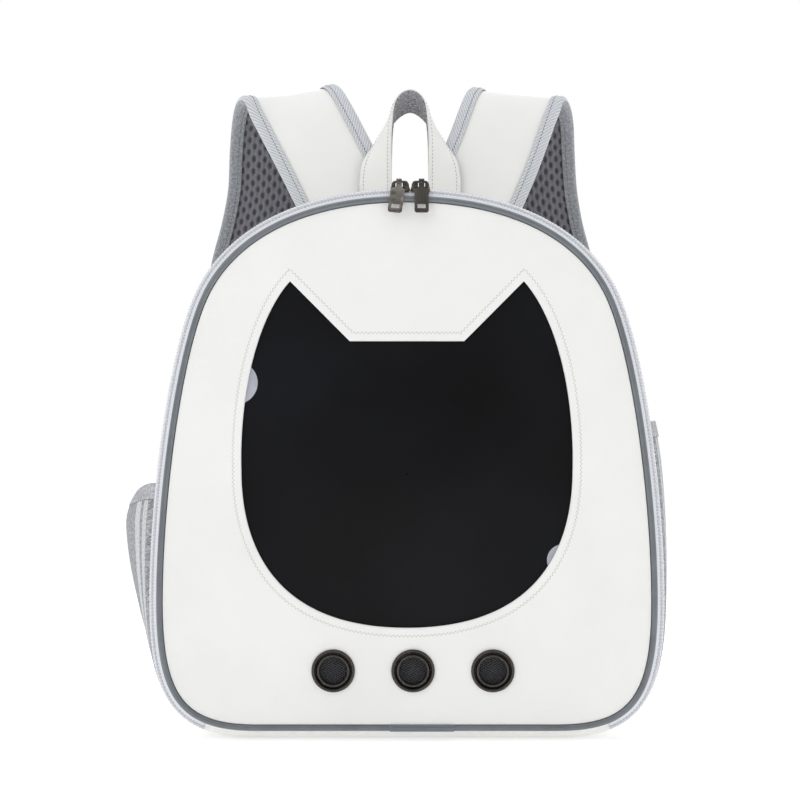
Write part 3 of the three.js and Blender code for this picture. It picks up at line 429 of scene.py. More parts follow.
finishes = {
    "leather": whiteLeather("whiteLeather", (0.9, 0.9, 0.875), (0.865, 0.865, 0.84), 0.5),
    "cutEdge": whiteLeather("cutEdge", (0.92, 0.92, 0.91), (0.86, 0.86, 0.85), 0.1),
    "film": filmWithInteriorShade(),
    "tab": clearTab(),
    "piping": glossPiping(),
    "zipTape": wovenTape("zipTape", (0.6, 0.62, 0.67), (0.86, 0.875, 0.91), 0.0014, 0.0, 0.00008),
    "zipCoil": thread("zipCoil", (0.66, 0.68, 0.73), (0.84, 0.85, 0.89)),
    "binding": wovenTape("twillBinding", (0.4, 0.425, 0.46), (0.84, 0.86, 0.89), 0.0027, 0.8, 0.00025),
    "rearBinding": melangeFabric("rearBinding", (0.2, 0.21, 0.23), (0.46, 0.48, 0.51),
                                 420.0, 0.0018, 0.8, 0.0002),
    # strap and back mesh: the darker hole colour is painted shade in the hex holes
    "strapMesh": airMeshFabric("strapMesh", (0.235, 0.235, 0.262), (0.085, 0.085, 0.1), 0.0046, 0.5),
    "backMesh": airMeshFabric("backMesh", (0.2, 0.2, 0.22), (0.05, 0.05, 0.06), 0.0045, 1.0),
    # black mesh behind the eyelets; its near-black hole colour is painted shade of the dark inside of the bag
    "eyeletMesh": airMeshFabric("eyeletMesh", (0.022, 0.024, 0.03), (0.004, 0.004, 0.005), 0.0016, 1.0),
    "metal": gunmetal(),
    "webbing": melangeFabric("melangeWebbing", (0.05, 0.05, 0.055), (0.42, 0.42, 0.45),
                             520.0, 0.0022, 0.0, 0.00025),
    "pocketMesh": melangeFabric("pocketMesh", (0.12, 0.125, 0.135), (0.55, 0.57, 0.6),
                                380.0, 0.0019, 0.7, 0.0003),
    "pocketStripe": melangeFabric("pocketStripe", (0.5, 0.52, 0.54), (0.8, 0.82, 0.84),
                                  500.0, 0.0016, 0.9, 0.0002),
    "elastic": melangeFabric("ribbedElastic", (0.3, 0.31, 0.33), (0.66, 0.68, 0.71),
                             420.0, 0.0017, 0.0, 0.0004),
    "plastic": mouldedPlastic(),
    "whiteThread": thread("whiteThread", (0.66, 0.66, 0.65), (0.8, 0.8, 0.79)),
    "greyThread": thread("greyThread", (0.36, 0.37, 0.4), (0.5, 0.51, 0.54)),
    "darkThread": thread("darkThread", (0.1, 0.1, 0.115), (0.19, 0.19, 0.21)),
    # grey of the needle holes is painted shade inside the holes
    "needleHole": thread("needleHole", (0.42, 0.42, 0.42), (0.56, 0.56, 0.56)),
}
print("materials:", len(finishes))

# Mesh helpers


def addMesh(name, points, faces, finish, uvs=None, faceFinish=None):
    mesh = bpy.data.meshes.new(name)
    mesh.from_pydata((np.asarray(points, float) * metre).tolist(), [], [tuple(map(int, f)) for f in faces])
    for material in finish if isinstance(finish, tuple) else (finish,):
        mesh.materials.append(finishes[material])
    if faceFinish is not None:
        mesh.polygons.foreach_set("material_index", faceFinish)
    if uvs is not None:
        layer = mesh.uv_layers.new(name="cloth")
        corners = np.zeros(len(mesh.loops), np.int32)
        mesh.loops.foreach_get("vertex_index", corners)
        layer.data.foreach_set("uv", (np.asarray(uvs, float)[corners] * metre).ravel())
    mesh.validate()
    mesh.shade_smooth()
    mesh.set_sharp_from_angle(angle=math.radians(42))
    piece = bpy.data.objects.new(name, mesh)
    bpy.context.collection.objects.link(piece)
    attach(piece, "carrier")
    return piece


def dress(piece, slot, *replaced):
    if replaced:
        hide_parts(*replaced)
    return piece


def signedVolume(points, faces):
    total = 0.0
    for face in faces:
        a = points[face[0]]
        for b, c in zip(face[1:-1], face[2:]):
            total += float(np.dot(a, np.cross(points[b], points[c])))
    return total


# A closed wall between two grids of points; ring joins the last row to the first
def wallFaces(rows, columns, ring):
    at = lambda layer, i, j: layer * rows * columns + (i % rows) * columns + j
    faces = []
    sides = []
    for i in range(rows if ring else rows - 1):
        for j in range(columns - 1):
            faces.append((at(0, i, j), at(0, i + 1, j), at(0, i + 1, j + 1), at(0, i, j + 1)))
            faces.append((at(1, i, j), at(1, i, j + 1), at(1, i + 1, j + 1), at(1, i + 1, j)))
            sides += [0, 1]
        faces.append((at(0, i, 0), at(1, i, 0), at(1, i + 1, 0), at(0, i + 1, 0)))
        j = columns - 1
        faces.append((at(0, i, j), at(0, i + 1, j), at(1, i + 1, j), at(1, i, j)))
        sides += [2, 2]
    if not ring:
        last = rows - 1
        for j in range(columns - 1):
            faces.append((at(0, 0, j), at(0, 0, j + 1), at(1, 0, j + 1), at(1, 0, j)))
            faces.append((at(0, last, j), at(1, last, j), at(1, last, j + 1), at(0, last, j + 1)))
            sides += [2, 2]
    return faces, sides


def addWall(name, outer, inner, finish, ring=False, uv=None, finishBySide=(0, 0, 0)):
    rows, columns = outer.shape[:2]
    faces, sides = wallFaces(rows, columns, ring)
    points = np.concatenate([outer.reshape(-1, 3), inner.reshape(-1, 3)])
    if signedVolume(points, faces) < 0:
        faces = [face[::-1] for face in faces]
    if uv is None:
        along = np.concatenate([[0], np.cumsum(np.linalg.norm(np.diff(outer[:, 0], axis=0), axis=1))])
        across = np.concatenate([[0], np.cumsum(np.linalg.norm(np.diff(outer[0], axis=0), axis=1))])
        uv = np.stack(np.meshgrid(across, along), axis=-1)
    flat = uv.reshape(-1, 2)
    choices = [finishBySide[side] for side in sides]
    return addMesh(name, points, faces, finish, np.concatenate([flat, flat]), choices)


# A closed section swept along frames: places and axes are rows, section is pairs of across and out;
# with backFinish, faces on the far side of the section take the second finish
def addSweep(name, places, acrosses, outs, section, finish, loop=False, backFinish=False):
    section = np.asarray(section, float)
    rows, sides = len(places), len(section)
    grid = (places[:, None] + acrosses[:, None] * section[None, :, :1] + outs[:, None] * section[None, :, 1:])
    faces = []
    for i in range(rows if loop else rows - 1):
        k = (i + 1) % rows
        for j in range(sides):
            m = (j + 1) % sides
            faces.append((i * sides + j, k * sides + j, k * sides + m, i * sides + m))
    if not loop:
        faces.append(tuple(range(sides)))
        faces.append(tuple((rows - 1) * sides + j for j in reversed(range(sides))))
    points = grid.reshape(-1, 3)
    if signedVolume(points, faces) < 0:
        faces = [face[::-1] for face in faces]
    along = np.concatenate([[0], np.cumsum(np.linalg.norm(np.diff(places, axis=0), axis=1))])
    around = np.concatenate([[0], np.cumsum(np.linalg.norm(np.diff(section, axis=0), axis=1))])
    uv = np.stack(np.meshgrid(around, along), axis=-1).reshape(-1, 2)
    halfway = (section[:, 1] + np.roll(section[:, 1], -1)) / 2
    behind = (halfway < -0.25).astype(int).tolist() if backFinish else [0] * sides
    choices = (behind * rows)[:len(faces)]
    return addMesh(name, points, faces, finish, uv, choices)


def circle(radius, sides):
    turns = np.arange(sides) * 2 * math.pi / sides
    return np.stack([radius * np.cos(turns), radius * np.sin(turns)], axis=1)


def unit(vectors):
    return vectors / np.maximum(np.linalg.norm(vectors, axis=-1, keepdims=True), 1e-9)


# Points, directions and normals every pitch along a line of points
def stepAlong(line, normals, pitch, start=0.0):
    run = np.concatenate([[0], np.cumsum(np.linalg.norm(np.diff(line, axis=0), axis=1))])
    stops = np.arange(start + pitch / 2, run[-1] - pitch / 4, pitch)
    sample = lambda values: np.stack([np.interp(stops, run, values[:, k]) for k in range(3)], axis=1)
    ahead = np.stack([np.interp(stops + 0.4, run, line[:, k]) for k in range(3)], axis=1)
    behind = np.stack([np.interp(stops - 0.4, run, line[:, k]) for k in range(3)], axis=1)
    return sample(line), unit(ahead - behind), unit(sample(normals))


# Many short threads in one mesh, each an arch that dips into the cloth at both ends
def addStitches(name, places, directions, normals, length, radius, finish, rise=None):
    rise = radius if rise is None else rise
    stations = np.array([-0.5, -0.3, 0.0, 0.3, 0.5])
    thick = np.array([0.45, 0.95, 1.0, 0.95, 0.45])
    sides = 6
    ring = circle(radius, sides)
    sideways = unit(np.cross(directions, normals))
    count = len(places)
    grid = np.zeros((count, len(stations), sides, 3))
    for k, (t, share) in enumerate(zip(stations, thick)):
        lift = rise * (1 - (2 * t) ** 2) - 0.35 * radius
        middle = places + directions * (t * length) + normals * lift
        for j in range(sides):
            grid[:, k, j] = middle + sideways * (share * ring[j, 0]) + normals * (share * ring[j, 1])
    rings = len(stations)
    pattern = []
    for k in range(rings - 1):
        for j in range(sides):
            m = (j + 1) % sides
            pattern.append((k * sides + j, k * sides + m, (k + 1) * sides + m, (k + 1) * sides + j))
    caps = [tuple(reversed(range(sides))), tuple((rings - 1) * sides + j for j in range(sides))]
    first = grid[0].reshape(-1, 3)
    faces = pattern + caps
    if signedVolume(first - first.mean(axis=0), faces) < 0:
        faces = [face[::-1] for face in faces]
    size = rings * sides
    every = [tuple(i * size + v for v in face) for i in range(count) for face in faces]
    return addMesh(name, grid.reshape(-1, 3), every, finish)


# Needle holes: small dished lenses set in the surface, coloured grey as painted shade inside the holes
def addNeedleHoles(name, places, normals, radius, finish):
    sides = 8
    aside = unit(np.cross(normals, np.array([0.0, 0.0, 1.0])))
    above = np.cross(normals, aside)
    ring = circle(radius, sides)
    count = len(places)
    points = np.zeros((count, sides + 2, 3))
    for j in range(sides):
        points[:, j] = places + aside * ring[j, 0] + above * ring[j, 1] + normals * 0.06
    points[:, sides] = places + normals * 0.02
    points[:, sides + 1] = places - normals * 0.5
    faces = []
    for j in range(sides):
        m = (j + 1) % sides
        faces += [(j, m, sides), (m, j, sides + 1)]
    if signedVolume(points[0] - points[0].mean(axis=0), faces) < 0:
        faces = [face[::-1] for face in faces]
    size = sides + 2
    every = [tuple(i * size + v for v in face) for i in range(count) for face in faces]
    return addMesh(name, points.reshape(-1, 3), every, finish)


# Centripetal Catmull-Rom through rows of points, as the frame's own curves run
def smoothLine(points, shares):
    points = np.asarray(points, float)
    padded = np.vstack([2 * points[0] - points[1], points, 2 * points[-1] - points[-2]])
    made = []
    for t in shares:
        place = t * (len(points) - 1)
        i = min(int(place), len(points) - 2)
        w = place - i
        p0, p1, p2, p3 = padded[i:i + 4]
        d0, d1, d2 = (max(np.linalg.norm(b - a), 1e-8) ** 0.5 for a, b in ((p0, p1), (p1, p2), (p2, p3)))
        m1 = ((p1 - p0) / d0 - (p2 - p0) / (d0 + d1) + (p2 - p1) / d1) * d1
        m2 = ((p2 - p1) / d1 - (p3 - p1) / (d1 + d2) + (p3 - p2) / d2) * d1
        made.append(p1 + m1 * w + (3 * (p2 - p1) - 2 * m1 - m2) * w * w + (2 * (p1 - p2) + m1 + m2) * w ** 3)
    return np.array(made)


# Body: the seam line and the section from the front seam to the back one

body = {
    "seamWidth": 369,
    "seamHeight": 394,
    "depth": 230,
    "bulge": 9,
    "shoulder": 24,
    "gap": 0.3,
    "pipingRadius": 2.4,
    "baseHalfLength": 150,
}
outlineRows = [  # shares of half the width and of the height; the first row is a line
    {"to": (0.608, 0)},
    {"c1": (0.906, 0), "c2": (1, 0.055), "to": (1, 0.237)},
    {"c1": (1, 0.433), "c2": (0.921, 0.715), "to": (0.812, 0.82)},
    {"c1": (0.707, 0.922), "c2": (0.441, 1), "to": (0, 1)},
]


def followRows(start, rows, steps):
    line = [np.array(start, float)]
    for row in rows:
        here, to = line[-1], np.array(row["to"], float)
        for t in np.linspace(0, 1, steps + 1)[1:]:
            if "c1" in row:
                c1, c2 = np.array(row["c1"]), np.array(row["c2"])
                nearEnd = (1 - t) ** 3 * here + 3 * (1 - t) ** 2 * t * c1
                line.append(nearEnd + 3 * (1 - t) * t * t * c2 + t ** 3 * to)
            else:
                line.append(here + (to - here) * t)
    return np.array(line)


def seamTable():
    half = followRows((0, 0), outlineRows, 90)
    half = half * [body["seamWidth"] / 2, body["seamHeight"]] + [0, body["bulge"]]
    line = np.vstack([half, half[-2::-1] * [-1, 1]])
    run = np.concatenate([[0], np.cumsum(np.linalg.norm(np.diff(line, axis=0), axis=1))])
    share = run / run[-1]
    even = np.linspace(0, 1, 2401)
    places = np.stack([np.interp(even, share, line[:, k]) for k in (0, 1)], axis=1)
    closed = np.vstack([places[-2], places, places[1]])
    tangents = unit(closed[2:] - closed[:-2])
    return even, places, np.stack([tangents[:, 1], -tangents[:, 0]], axis=1), run[-1]


seamShares, seamPlaces, seamOuts, seamLength = seamTable()
frontY = -body["depth"] / 2
backY = body["depth"] / 2
topZ = body["bulge"] + body["seamHeight"]
seamEdge = body["pipingRadius"] + body["gap"]


def seamAt(s):
    s = np.mod(s, 1.0)
    column = lambda table, k: np.interp(s, seamShares, table[:, k])
    return column(seamPlaces, 0), column(seamPlaces, 1), column(seamOuts, 0), column(seamOuts, 1)


def sectionRows():
    turns = np.linspace(0, math.pi / 2, 61)
    y = body["shoulder"] * (1 - np.cos(turns))
    off = body["bulge"] * np.sin(turns)
    slopeY, slopeOff = body["shoulder"] * np.sin(turns), body["bulge"] * np.cos(turns)
    size = np.hypot(slopeY, slopeOff)
    front = np.stack([frontY + y, off, -slopeOff / size, slopeY / size], axis=1)
    back = (front * [-1, 1, -1, 1])[::-1]
    rows = np.vstack([front, back])
    run = np.concatenate([[0], np.cumsum(np.hypot(np.diff(rows[:, 0]), np.diff(rows[:, 1])))])
    return run, rows


sectionRun, sectionRowTable = sectionRows()
sectionLength = sectionRun[-1]


# A point of the skin at s along the seam line and a along the section, depth below the surface
def skin(s, a, depth=0.0):
    s, a, depth = np.broadcast_arrays(s, a, depth)
    x, z, outX, outZ = seamAt(s)
    y, off, sectionY, sectionOff = (np.interp(a, sectionRun, sectionRowTable[:, k]) for k in range(4))
    reach = off - depth * sectionOff
    return np.stack([x + outX * reach, y - depth * sectionY, z + outZ * reach], axis=-1)


def skinOut(s, a):
    return unit(skin(s, a, -1.0) - skin(s, a, 0.0))


baseEnd = body["baseHalfLength"] / seamLength
archShares = np.linspace(baseEnd, 1 - baseEnd, 421)
baseShares = np.linspace(-baseEnd, baseEnd, 61)
ringShares = np.linspace(0, 1, 501)[:-1]

# Front panel with the cat-head cut

panel = {
    "centreZ": body["bulge"] + body["seamHeight"] * 0.48,
    "dome": 13,
    "domeFullness": 2.2,
    "thickness": 2.4,
    "lipReach": (0, 0.45, 1.3, 2.4, 4.5),
    "lipDrop": (0.75, 0.22, 0.04, 0, 0),
    "needleRadius": 0.42,
    "stitchFromCut": 6.2,
    "stitchZigzag": 0.9,
    "stitchPitch": 3.1,
}
cat = {
    "width": 246,
    "height": 257.5,
    "bottomZ": 84,
    "earTip": (0.707, 1),
    "earNotch": (0.3455, 0.826),
}
catRows = [
    {"c1": (0.927, 0.88), "c2": (1.012, 0.645), "to": (1, 0.454)},
    {"c1": (1, 0.225), "c2": (0.78, 0), "to": (0, 0)},
]


def domeY(share):
    return frontY - panel["dome"] * (1 - np.abs(share) ** panel["domeFullness"])


def edgeRadii():
    x, z, outX, outZ = seamAt(seamShares[:-1])
    dx, dz = x - outX * seamEdge, z - outZ * seamEdge - panel["centreZ"]
    turns = np.arctan2(dz, dx)
    order = np.argsort(turns)
    return turns[order], np.hypot(dx, dz)[order]


edgeTurns, edgeReach = edgeRadii()


def panelEdge(turn):
    return np.interp(turn, edgeTurns, edgeReach, period=2 * math.pi)


def panelShare(x, z):
    dz = z - panel["centreZ"]
    return np.hypot(x, dz) / panelEdge(np.arctan2(dz, x))


# A point of the panel's face over x and z, lifted off it by height
def onPanel(x, z, height=0.0):
    x, z = np.asarray(x, float), np.asarray(z, float)
    y = domeY(panelShare(x, z)) - panel["thickness"] / 2
    return np.stack([x, y - height, z], axis=-1)


def panelOut(x, z):
    reach = 2.0
    slopeX = (onPanel(x + reach, z) - onPanel(x - reach, z))[..., 1] / (2 * reach)
    slopeZ = (onPanel(x, z + reach) - onPanel(x, z - reach))[..., 1] / (2 * reach)
    return unit(np.stack([slopeX, -np.ones_like(slopeX), slopeZ], axis=-1))


# The cat head's outline from its right ear tip, round by the chin; margin sets it out
def catOutline(margin=0.0, steps=64, straightSteps=18):
    size = np.array([cat["width"] / 2, cat["height"]])
    right = followRows(cat["earTip"], catRows, steps)
    chin = np.vstack([right, right[-2::-1] * [-1, 1]])
    corners = [np.array(cat["earTip"]) * [-1, 1], np.array(cat["earNotch"]) * [-1, 1],
               np.array(cat["earNotch"]), np.array(cat["earTip"])]
    straight = [a + (b - a) * t for a, b in zip(corners, corners[1:])
                for t in np.linspace(0, 1, straightSteps + 1)[1:]]
    line = np.vstack([chin, straight[:-1]]) * size + [0, cat["bottomZ"]]
    before, after = np.roll(line, 1, axis=0), np.roll(line, -1, axis=0)
    d1, d2 = unit(line - before), unit(after - line)
    mitre = np.stack([-d1[:, 1] - d2[:, 1], d1[:, 0] + d2[:, 0]], axis=1)
    return line + mitre * (2 * margin / np.maximum((mitre ** 2).sum(axis=1, keepdims=True), 0.3))


eyelet = {
    "spacing": 59.3,
    "shift": 4.5,
    "z": 52,
    "bore": 10.3,
    "barrel": 11.8,
    "flange": 16.2,
    "height": 1.9,
    "washer": 0.8,
}
eyeletX = [eyelet["shift"] + i * eyelet["spacing"] for i in (-1, 0, 1)]


def addFrontPanel():
    cut = catOutline()
    centre = np.array([0, panel["centreZ"]])
    fromCentre = cut - centre
    near = np.hypot(fromCentre[:, 0], fromCentre[:, 1])
    turns = np.arctan2(fromCentre[:, 1], fromCentre[:, 0])
    far = panelEdge(turns)
    lips = panel["lipReach"]
    shares = np.linspace(0, 1, 30)[1:] ** 0.9
    reach = [near + lip for lip in lips] + [near + lips[-1] + (far - near - lips[-1]) * t for t in shares]
    drop = list(panel["lipDrop"]) + [0] * len(shares)
    outer, inner = [], []
    for r, sunk in zip(reach, drop):
        x, z = np.cos(turns) * r, centre[1] + np.sin(turns) * r
        outer.append(onPanel(x, z, -sunk))
        inner.append(onPanel(x, z, -panel["thickness"]))
    outer, inner = np.stack(outer, axis=1), np.stack(inner, axis=1)
    piece = addWall("front_panel_leather", outer, inner, ("leather", "cutEdge"), ring=True,
                    uv=outer[..., [0, 2]], finishBySide=(0, 0, 1))
    cutter = addEyeletCutter()
    cutHoles = piece.modifiers.new("eyeletHoles", "BOOLEAN")
    cutHoles.operation = "DIFFERENCE"
    cutHoles.solver = "EXACT"
    cutHoles.object = cutter
    applyModifiers(piece)
    bpy.data.objects.remove(cutter)
    piece.data.set_sharp_from_angle(angle=math.radians(42))
    return dress(piece, "white_leather", "front_panel")


def applyModifiers(piece):
    depsgraph = bpy.context.evaluated_depsgraph_get()
    made = bpy.data.meshes.new_from_object(piece.evaluated_get(depsgraph))
    piece.modifiers.clear()
    piece.data = made


def addEyeletCutter():
    shape = bmesh.new()
    radius = (eyelet["barrel"] + body["gap"]) * metre
    for x in eyeletX:
        seat = eyeletSeat(x)
        bmesh.ops.create_cone(shape, cap_ends=True, segments=64, radius1=radius, radius2=radius,
                              depth=0.03, matrix=seat)
    mesh = bpy.data.meshes.new("eyeletCutter")
    shape.to_mesh(mesh)
    shape.free()
    cutter = bpy.data.objects.new("eyeletCutter", mesh)
    bpy.context.collection.objects.link(cutter)
    return cutter


def eyeletSeat(x):
    place = onPanel(x, eyelet["z"])
    out = panelOut(np.array(x, float), np.array(eyelet["z"], float))
    turn = Vector((0, 0, 1)).rotation_difference(Vector(out)).to_matrix().to_4x4()
    return Matrix.Translation(Vector(place * metre)) @ turn


def addPanelStitches():
    line = catOutline(panel["stitchFromCut"], 90, 40)
    line = np.vstack([line, line[:1]])
    flat = np.stack([line[:, 0], np.zeros(len(line)), line[:, 1]], axis=1)
    places, along, _ = stepAlong(flat, flat * 0 + [0, -1, 0], panel["stitchPitch"] / 2)
    side = np.cross(along, [0, -1, 0]) * panel["stitchZigzag"] / 2
    side[1::2] *= -1
    dots = places + side
    seats = onPanel(dots[:, 0], dots[:, 2])
    outs = panelOut(dots[:, 0], dots[:, 2])
    holes = addNeedleHoles("panel_needle_holes", seats, outs, panel["needleRadius"], "needleHole")
    dress(holes, "white_leather")
    halfway = (seats[:-1] + seats[1:]) / 2
    stitches = addStitches("panel_stitches", halfway, unit(seats[1:] - seats[:-1]), outs[:-1],
                           1.5, 0.2, "whiteThread", 0.12)
    dress(stitches, "white_leather")


addFrontPanel()
addPanelStitches()
print("front panel ready")

# Window film and its clear tabs

film = {
    "margin": 9,
    "thickness": 1.0,
    "gap": 0.9,
    "bulge": 7,
    "halfWidth": 0.92,
    "halfHeight": 0.4,
    "centre": 0.43,
}


def onFilm(x, z, height=0.0):
    u = x / (film["halfWidth"] * cat["width"] / 2)
    v = (z - cat["bottomZ"] - film["centre"] * cat["height"]) / (film["halfHeight"] * cat["height"])
    r = np.minimum(1, np.hypot(u, v))
    y = domeY(panelShare(x, z)) + panel["thickness"] / 2 + film["gap"] - film["bulge"] * (1 - r * r) ** 2
    return np.stack([x, y - height, z], axis=-1)


# The film is opaque; its near-black finish holds painted shade of the bag's inside
def addWindow():
    edge = catOutline(film["margin"]) - [0, panel["centreZ"]]
    shares = np.concatenate([[0.004], np.linspace(0, 1, 40)[1:]])
    x = edge[:, :1] * shares
    z = panel["centreZ"] + edge[:, 1:] * shares
    front, back = onFilm(x, z), onFilm(x, z, -film["thickness"])
    piece = addWall("window_film", front, back, "film", ring=True, uv=front[..., [0, 2]])
    return dress(piece, "dark_film", "window")


tabRows = [
    {"name": "film_tab_upper", "x": -127, "z": 266, "radius": 16, "insideX": -116, "insideZ": 266},
    {"name": "film_tab_lower", "x": 116, "z": 134, "radius": 12, "insideX": 112, "insideZ": 136},
]


def addTab(row):
    edge = catOutline(4) - [0, panel["centreZ"]]
    turns = np.arctan2(edge[:, 1], edge[:, 0])
    order = np.argsort(turns)
    limitTurns, limits = turns[order], np.hypot(edge[:, 0], edge[:, 1])[order]
    ways = np.linspace(0, 2 * math.pi, 73)[:-1]
    reaches = []
    for way in ways:
        r = 0.0
        while r < 2 * row["radius"]:
            x, z = row["insideX"] + r * math.cos(way), row["insideZ"] + r * math.sin(way)
            dz = z - panel["centreZ"]
            limit = np.interp(math.atan2(dz, x), limitTurns, limits, period=2 * math.pi)
            if math.hypot(x - row["x"], z - row["z"]) > row["radius"] or math.hypot(x, dz) > limit:
                break
            r += 0.1
        reaches.append(r)
    shares = np.linspace(0.02, 1, 8)
    x = row["insideX"] + np.outer(np.array(reaches) * np.cos(ways), shares)
    z = row["insideZ"] + np.outer(np.array(reaches) * np.sin(ways), shares)
    piece = addWall(row["name"] + "_film", onFilm(x, z, 0.6), onFilm(x, z, 0.3), "tab", ring=True,
                    uv=np.stack([x, z], axis=-1))
    dress(piece, "clear_tab", row["name"])


addWindow()
for tabRow in tabRows:
    addTab(tabRow)
print("window ready")

# Piping, sleeve, zipper and shell strips

strips = {
    "frontTape": (2.7, 6.9),
    "chain": (7.2, 11.0),
    "rearTape": (11.3, 25.3),
    "gussetFrom": 25.6,
    "tapeThickness": 1.3,
    "chainThickness": 1.6,
    "gussetThickness": 3,
    "baseThickness": 4,
    "stitchPitch": 2.6,
    "toothPitch": 1.7,
    "toothSide": 0.85,
    "toothLength": 2.0,
    "toothRadius": 0.5,
}
sleeve = {"length": 48, "shift": 11, "thickness": 0.7, "halfAngle": 58}


def addPiping(name, node, y):
    x, z, outX, outZ = seamAt(ringShares)
    places = np.stack([x, np.full_like(x, y), z], axis=1)
    outs = np.stack([outX, outX * 0, outZ], axis=1)
    backs = np.tile([0.0, 1.0, 0.0], (len(x), 1))
    piece = addSweep(name, places, outs, backs, circle(body["pipingRadius"], 14), "piping", loop=True)
    return dress(piece, "grey_piping", node)


def addSleeve():
    inside = body["pipingRadius"] + body["gap"] - 0.2
    turns = np.radians(np.linspace(-sleeve["halfAngle"], sleeve["halfAngle"], 19))
    arc = lambda radius: np.stack([radius * np.sin(turns), radius * np.cos(turns)], axis=1)
    section = np.vstack([arc(inside), arc(inside + sleeve["thickness"])[::-1]])
    ends = np.array([-1, -0.985, -0.9, 0.9, 0.985, 1]) * sleeve["length"] / 2
    slim = np.array([0.93, 1, 1, 1, 1, 0.93])
    places = np.stack([sleeve["shift"] + ends, ends * 0 + frontY, ends * 0 + body["bulge"]], axis=1)
    across = np.tile([0.0, 0.0, 1.0], (len(ends), 1)) * slim[:, None]
    outs = np.tile([0.0, -1.0, 0.0], (len(ends), 1)) * slim[:, None]
    return dress(addSweep("piping_sleeve_wrap", places, across, outs, section, "piping"), "grey_piping",
                 "piping_sleeve")


# A strip of the body's skin; crown lifts its middle a little
def addStrip(name, node, slot, shares, runs, thickness, finish, crown=0.0, standsOut=0.0):
    short = body["gap"] / 2 / seamLength
    shares = np.concatenate([[shares[0] + short], shares[1:-1], [shares[-1] - short]])
    runs = np.asarray(runs)
    middle = (runs - runs[0]) / (runs[-1] - runs[0])
    lift = standsOut + crown * np.sin(math.pi * middle)
    outer = skin(shares[:, None], runs[None], -lift[None])
    inner = skin(shares[:, None], runs[None], thickness - standsOut)
    uv = np.stack(np.broadcast_arrays(runs[None], shares[:, None] * seamLength), axis=-1)
    return dress(addWall(name, outer, inner, finish, uv=uv), slot, node)


def addSkinStitches(name, slot, shares, run, pitch, length, radius, finish):
    line = skin(shares, run)
    places, along, outs = stepAlong(line, skinOut(shares, run), pitch)
    return dress(addStitches(name, places, along, outs, length, radius, finish), slot)


# Two rows of slanted teeth that meet in the middle of the chain
def addTeeth():
    low, high = strips["chain"]
    middle = (low + high) / 2
    for side, label in ((-1, "front"), (1, "rear")):
        run = middle + side * strips["toothSide"]
        line = skin(archShares, run, -0.45)
        places, along, outs = stepAlong(line, skinOut(archShares, run), strips["toothPitch"],
                                        0.5 * strips["toothPitch"] * (side > 0))
        across = unit(np.cross(along, outs))
        slant = unit(across + along * 0.35 * side)
        teeth = addStitches("zip_teeth_" + label, places, slant, outs, strips["toothLength"],
                            strips["toothRadius"], "zipCoil", 0.3)
        dress(teeth, "zip_coil")


addPiping("front_piping_cord", "front_piping", frontY)
addPiping("back_piping_cord", "back_piping", backY)
addSleeve()
rim = sectionLength - seamEdge
addStrip("zip_tape_front_weave", "zip_tape_front", "zip_tape", archShares,
         np.linspace(*strips["frontTape"], 7), strips["tapeThickness"], "zipTape")
addStrip("zip_chain_bed", "zip_chain", "zip_coil", archShares,
         np.linspace(*strips["chain"], 7), strips["chainThickness"], "zipTape")
addStrip("zip_tape_rear_weave", "zip_tape_rear", "zip_tape", archShares,
         np.linspace(*strips["rearTape"], 15), strips["tapeThickness"], "zipTape")
gussetFrom = strips["gussetFrom"]
gussetRuns = np.concatenate([[gussetFrom], np.linspace(gussetFrom + 1, rim - 1, 34), [rim]])
addStrip("side_gusset_leather", "side_gusset", "white_leather", archShares, gussetRuns,
         strips["gussetThickness"], "leather", crown=1.0)
addStrip("base_panel_leather", "base_panel", "white_leather", baseShares, np.linspace(seamEdge, rim, 44),
         strips["baseThickness"], "leather")
addTeeth()
stitchRuns = [
    ("zip_stitch_front", 6.2, "greyThread"), ("zip_stitch_rear", 12.3, "greyThread"),
    ("zip_stitch_edge", 23.8, "whiteThread"),
    ("gusset_stitch_front", 28.2, "whiteThread"), ("gusset_stitch_back", sectionLength - 8, "whiteThread"),
]
for stitchName, stitchRun, stitchFinish in stitchRuns:
    addSkinStitches(stitchName, "zip_tape", archShares, stitchRun, strips["stitchPitch"], 1.7, 0.24,
                    stitchFinish)
print("shell, piping and zipper ready")

# Back panel: padded air mesh with three sewn channels

backPad = {
    "outerY": backY + 3,
    "thickness": 8,
    "pillow": 6,
    "channels": (-62, 0, 62),
    "crossZ": (118, 250),
    "channelWidth": 7,
    "channelDepth": 0.85,
    "fromEdge": 26,
    "topFree": 352,
    "bottomFree": 56,
    "stitchPitch": 4.2,
    "stitchHigh": (64, 340),
    "stitchWide": (-128, 128),
}


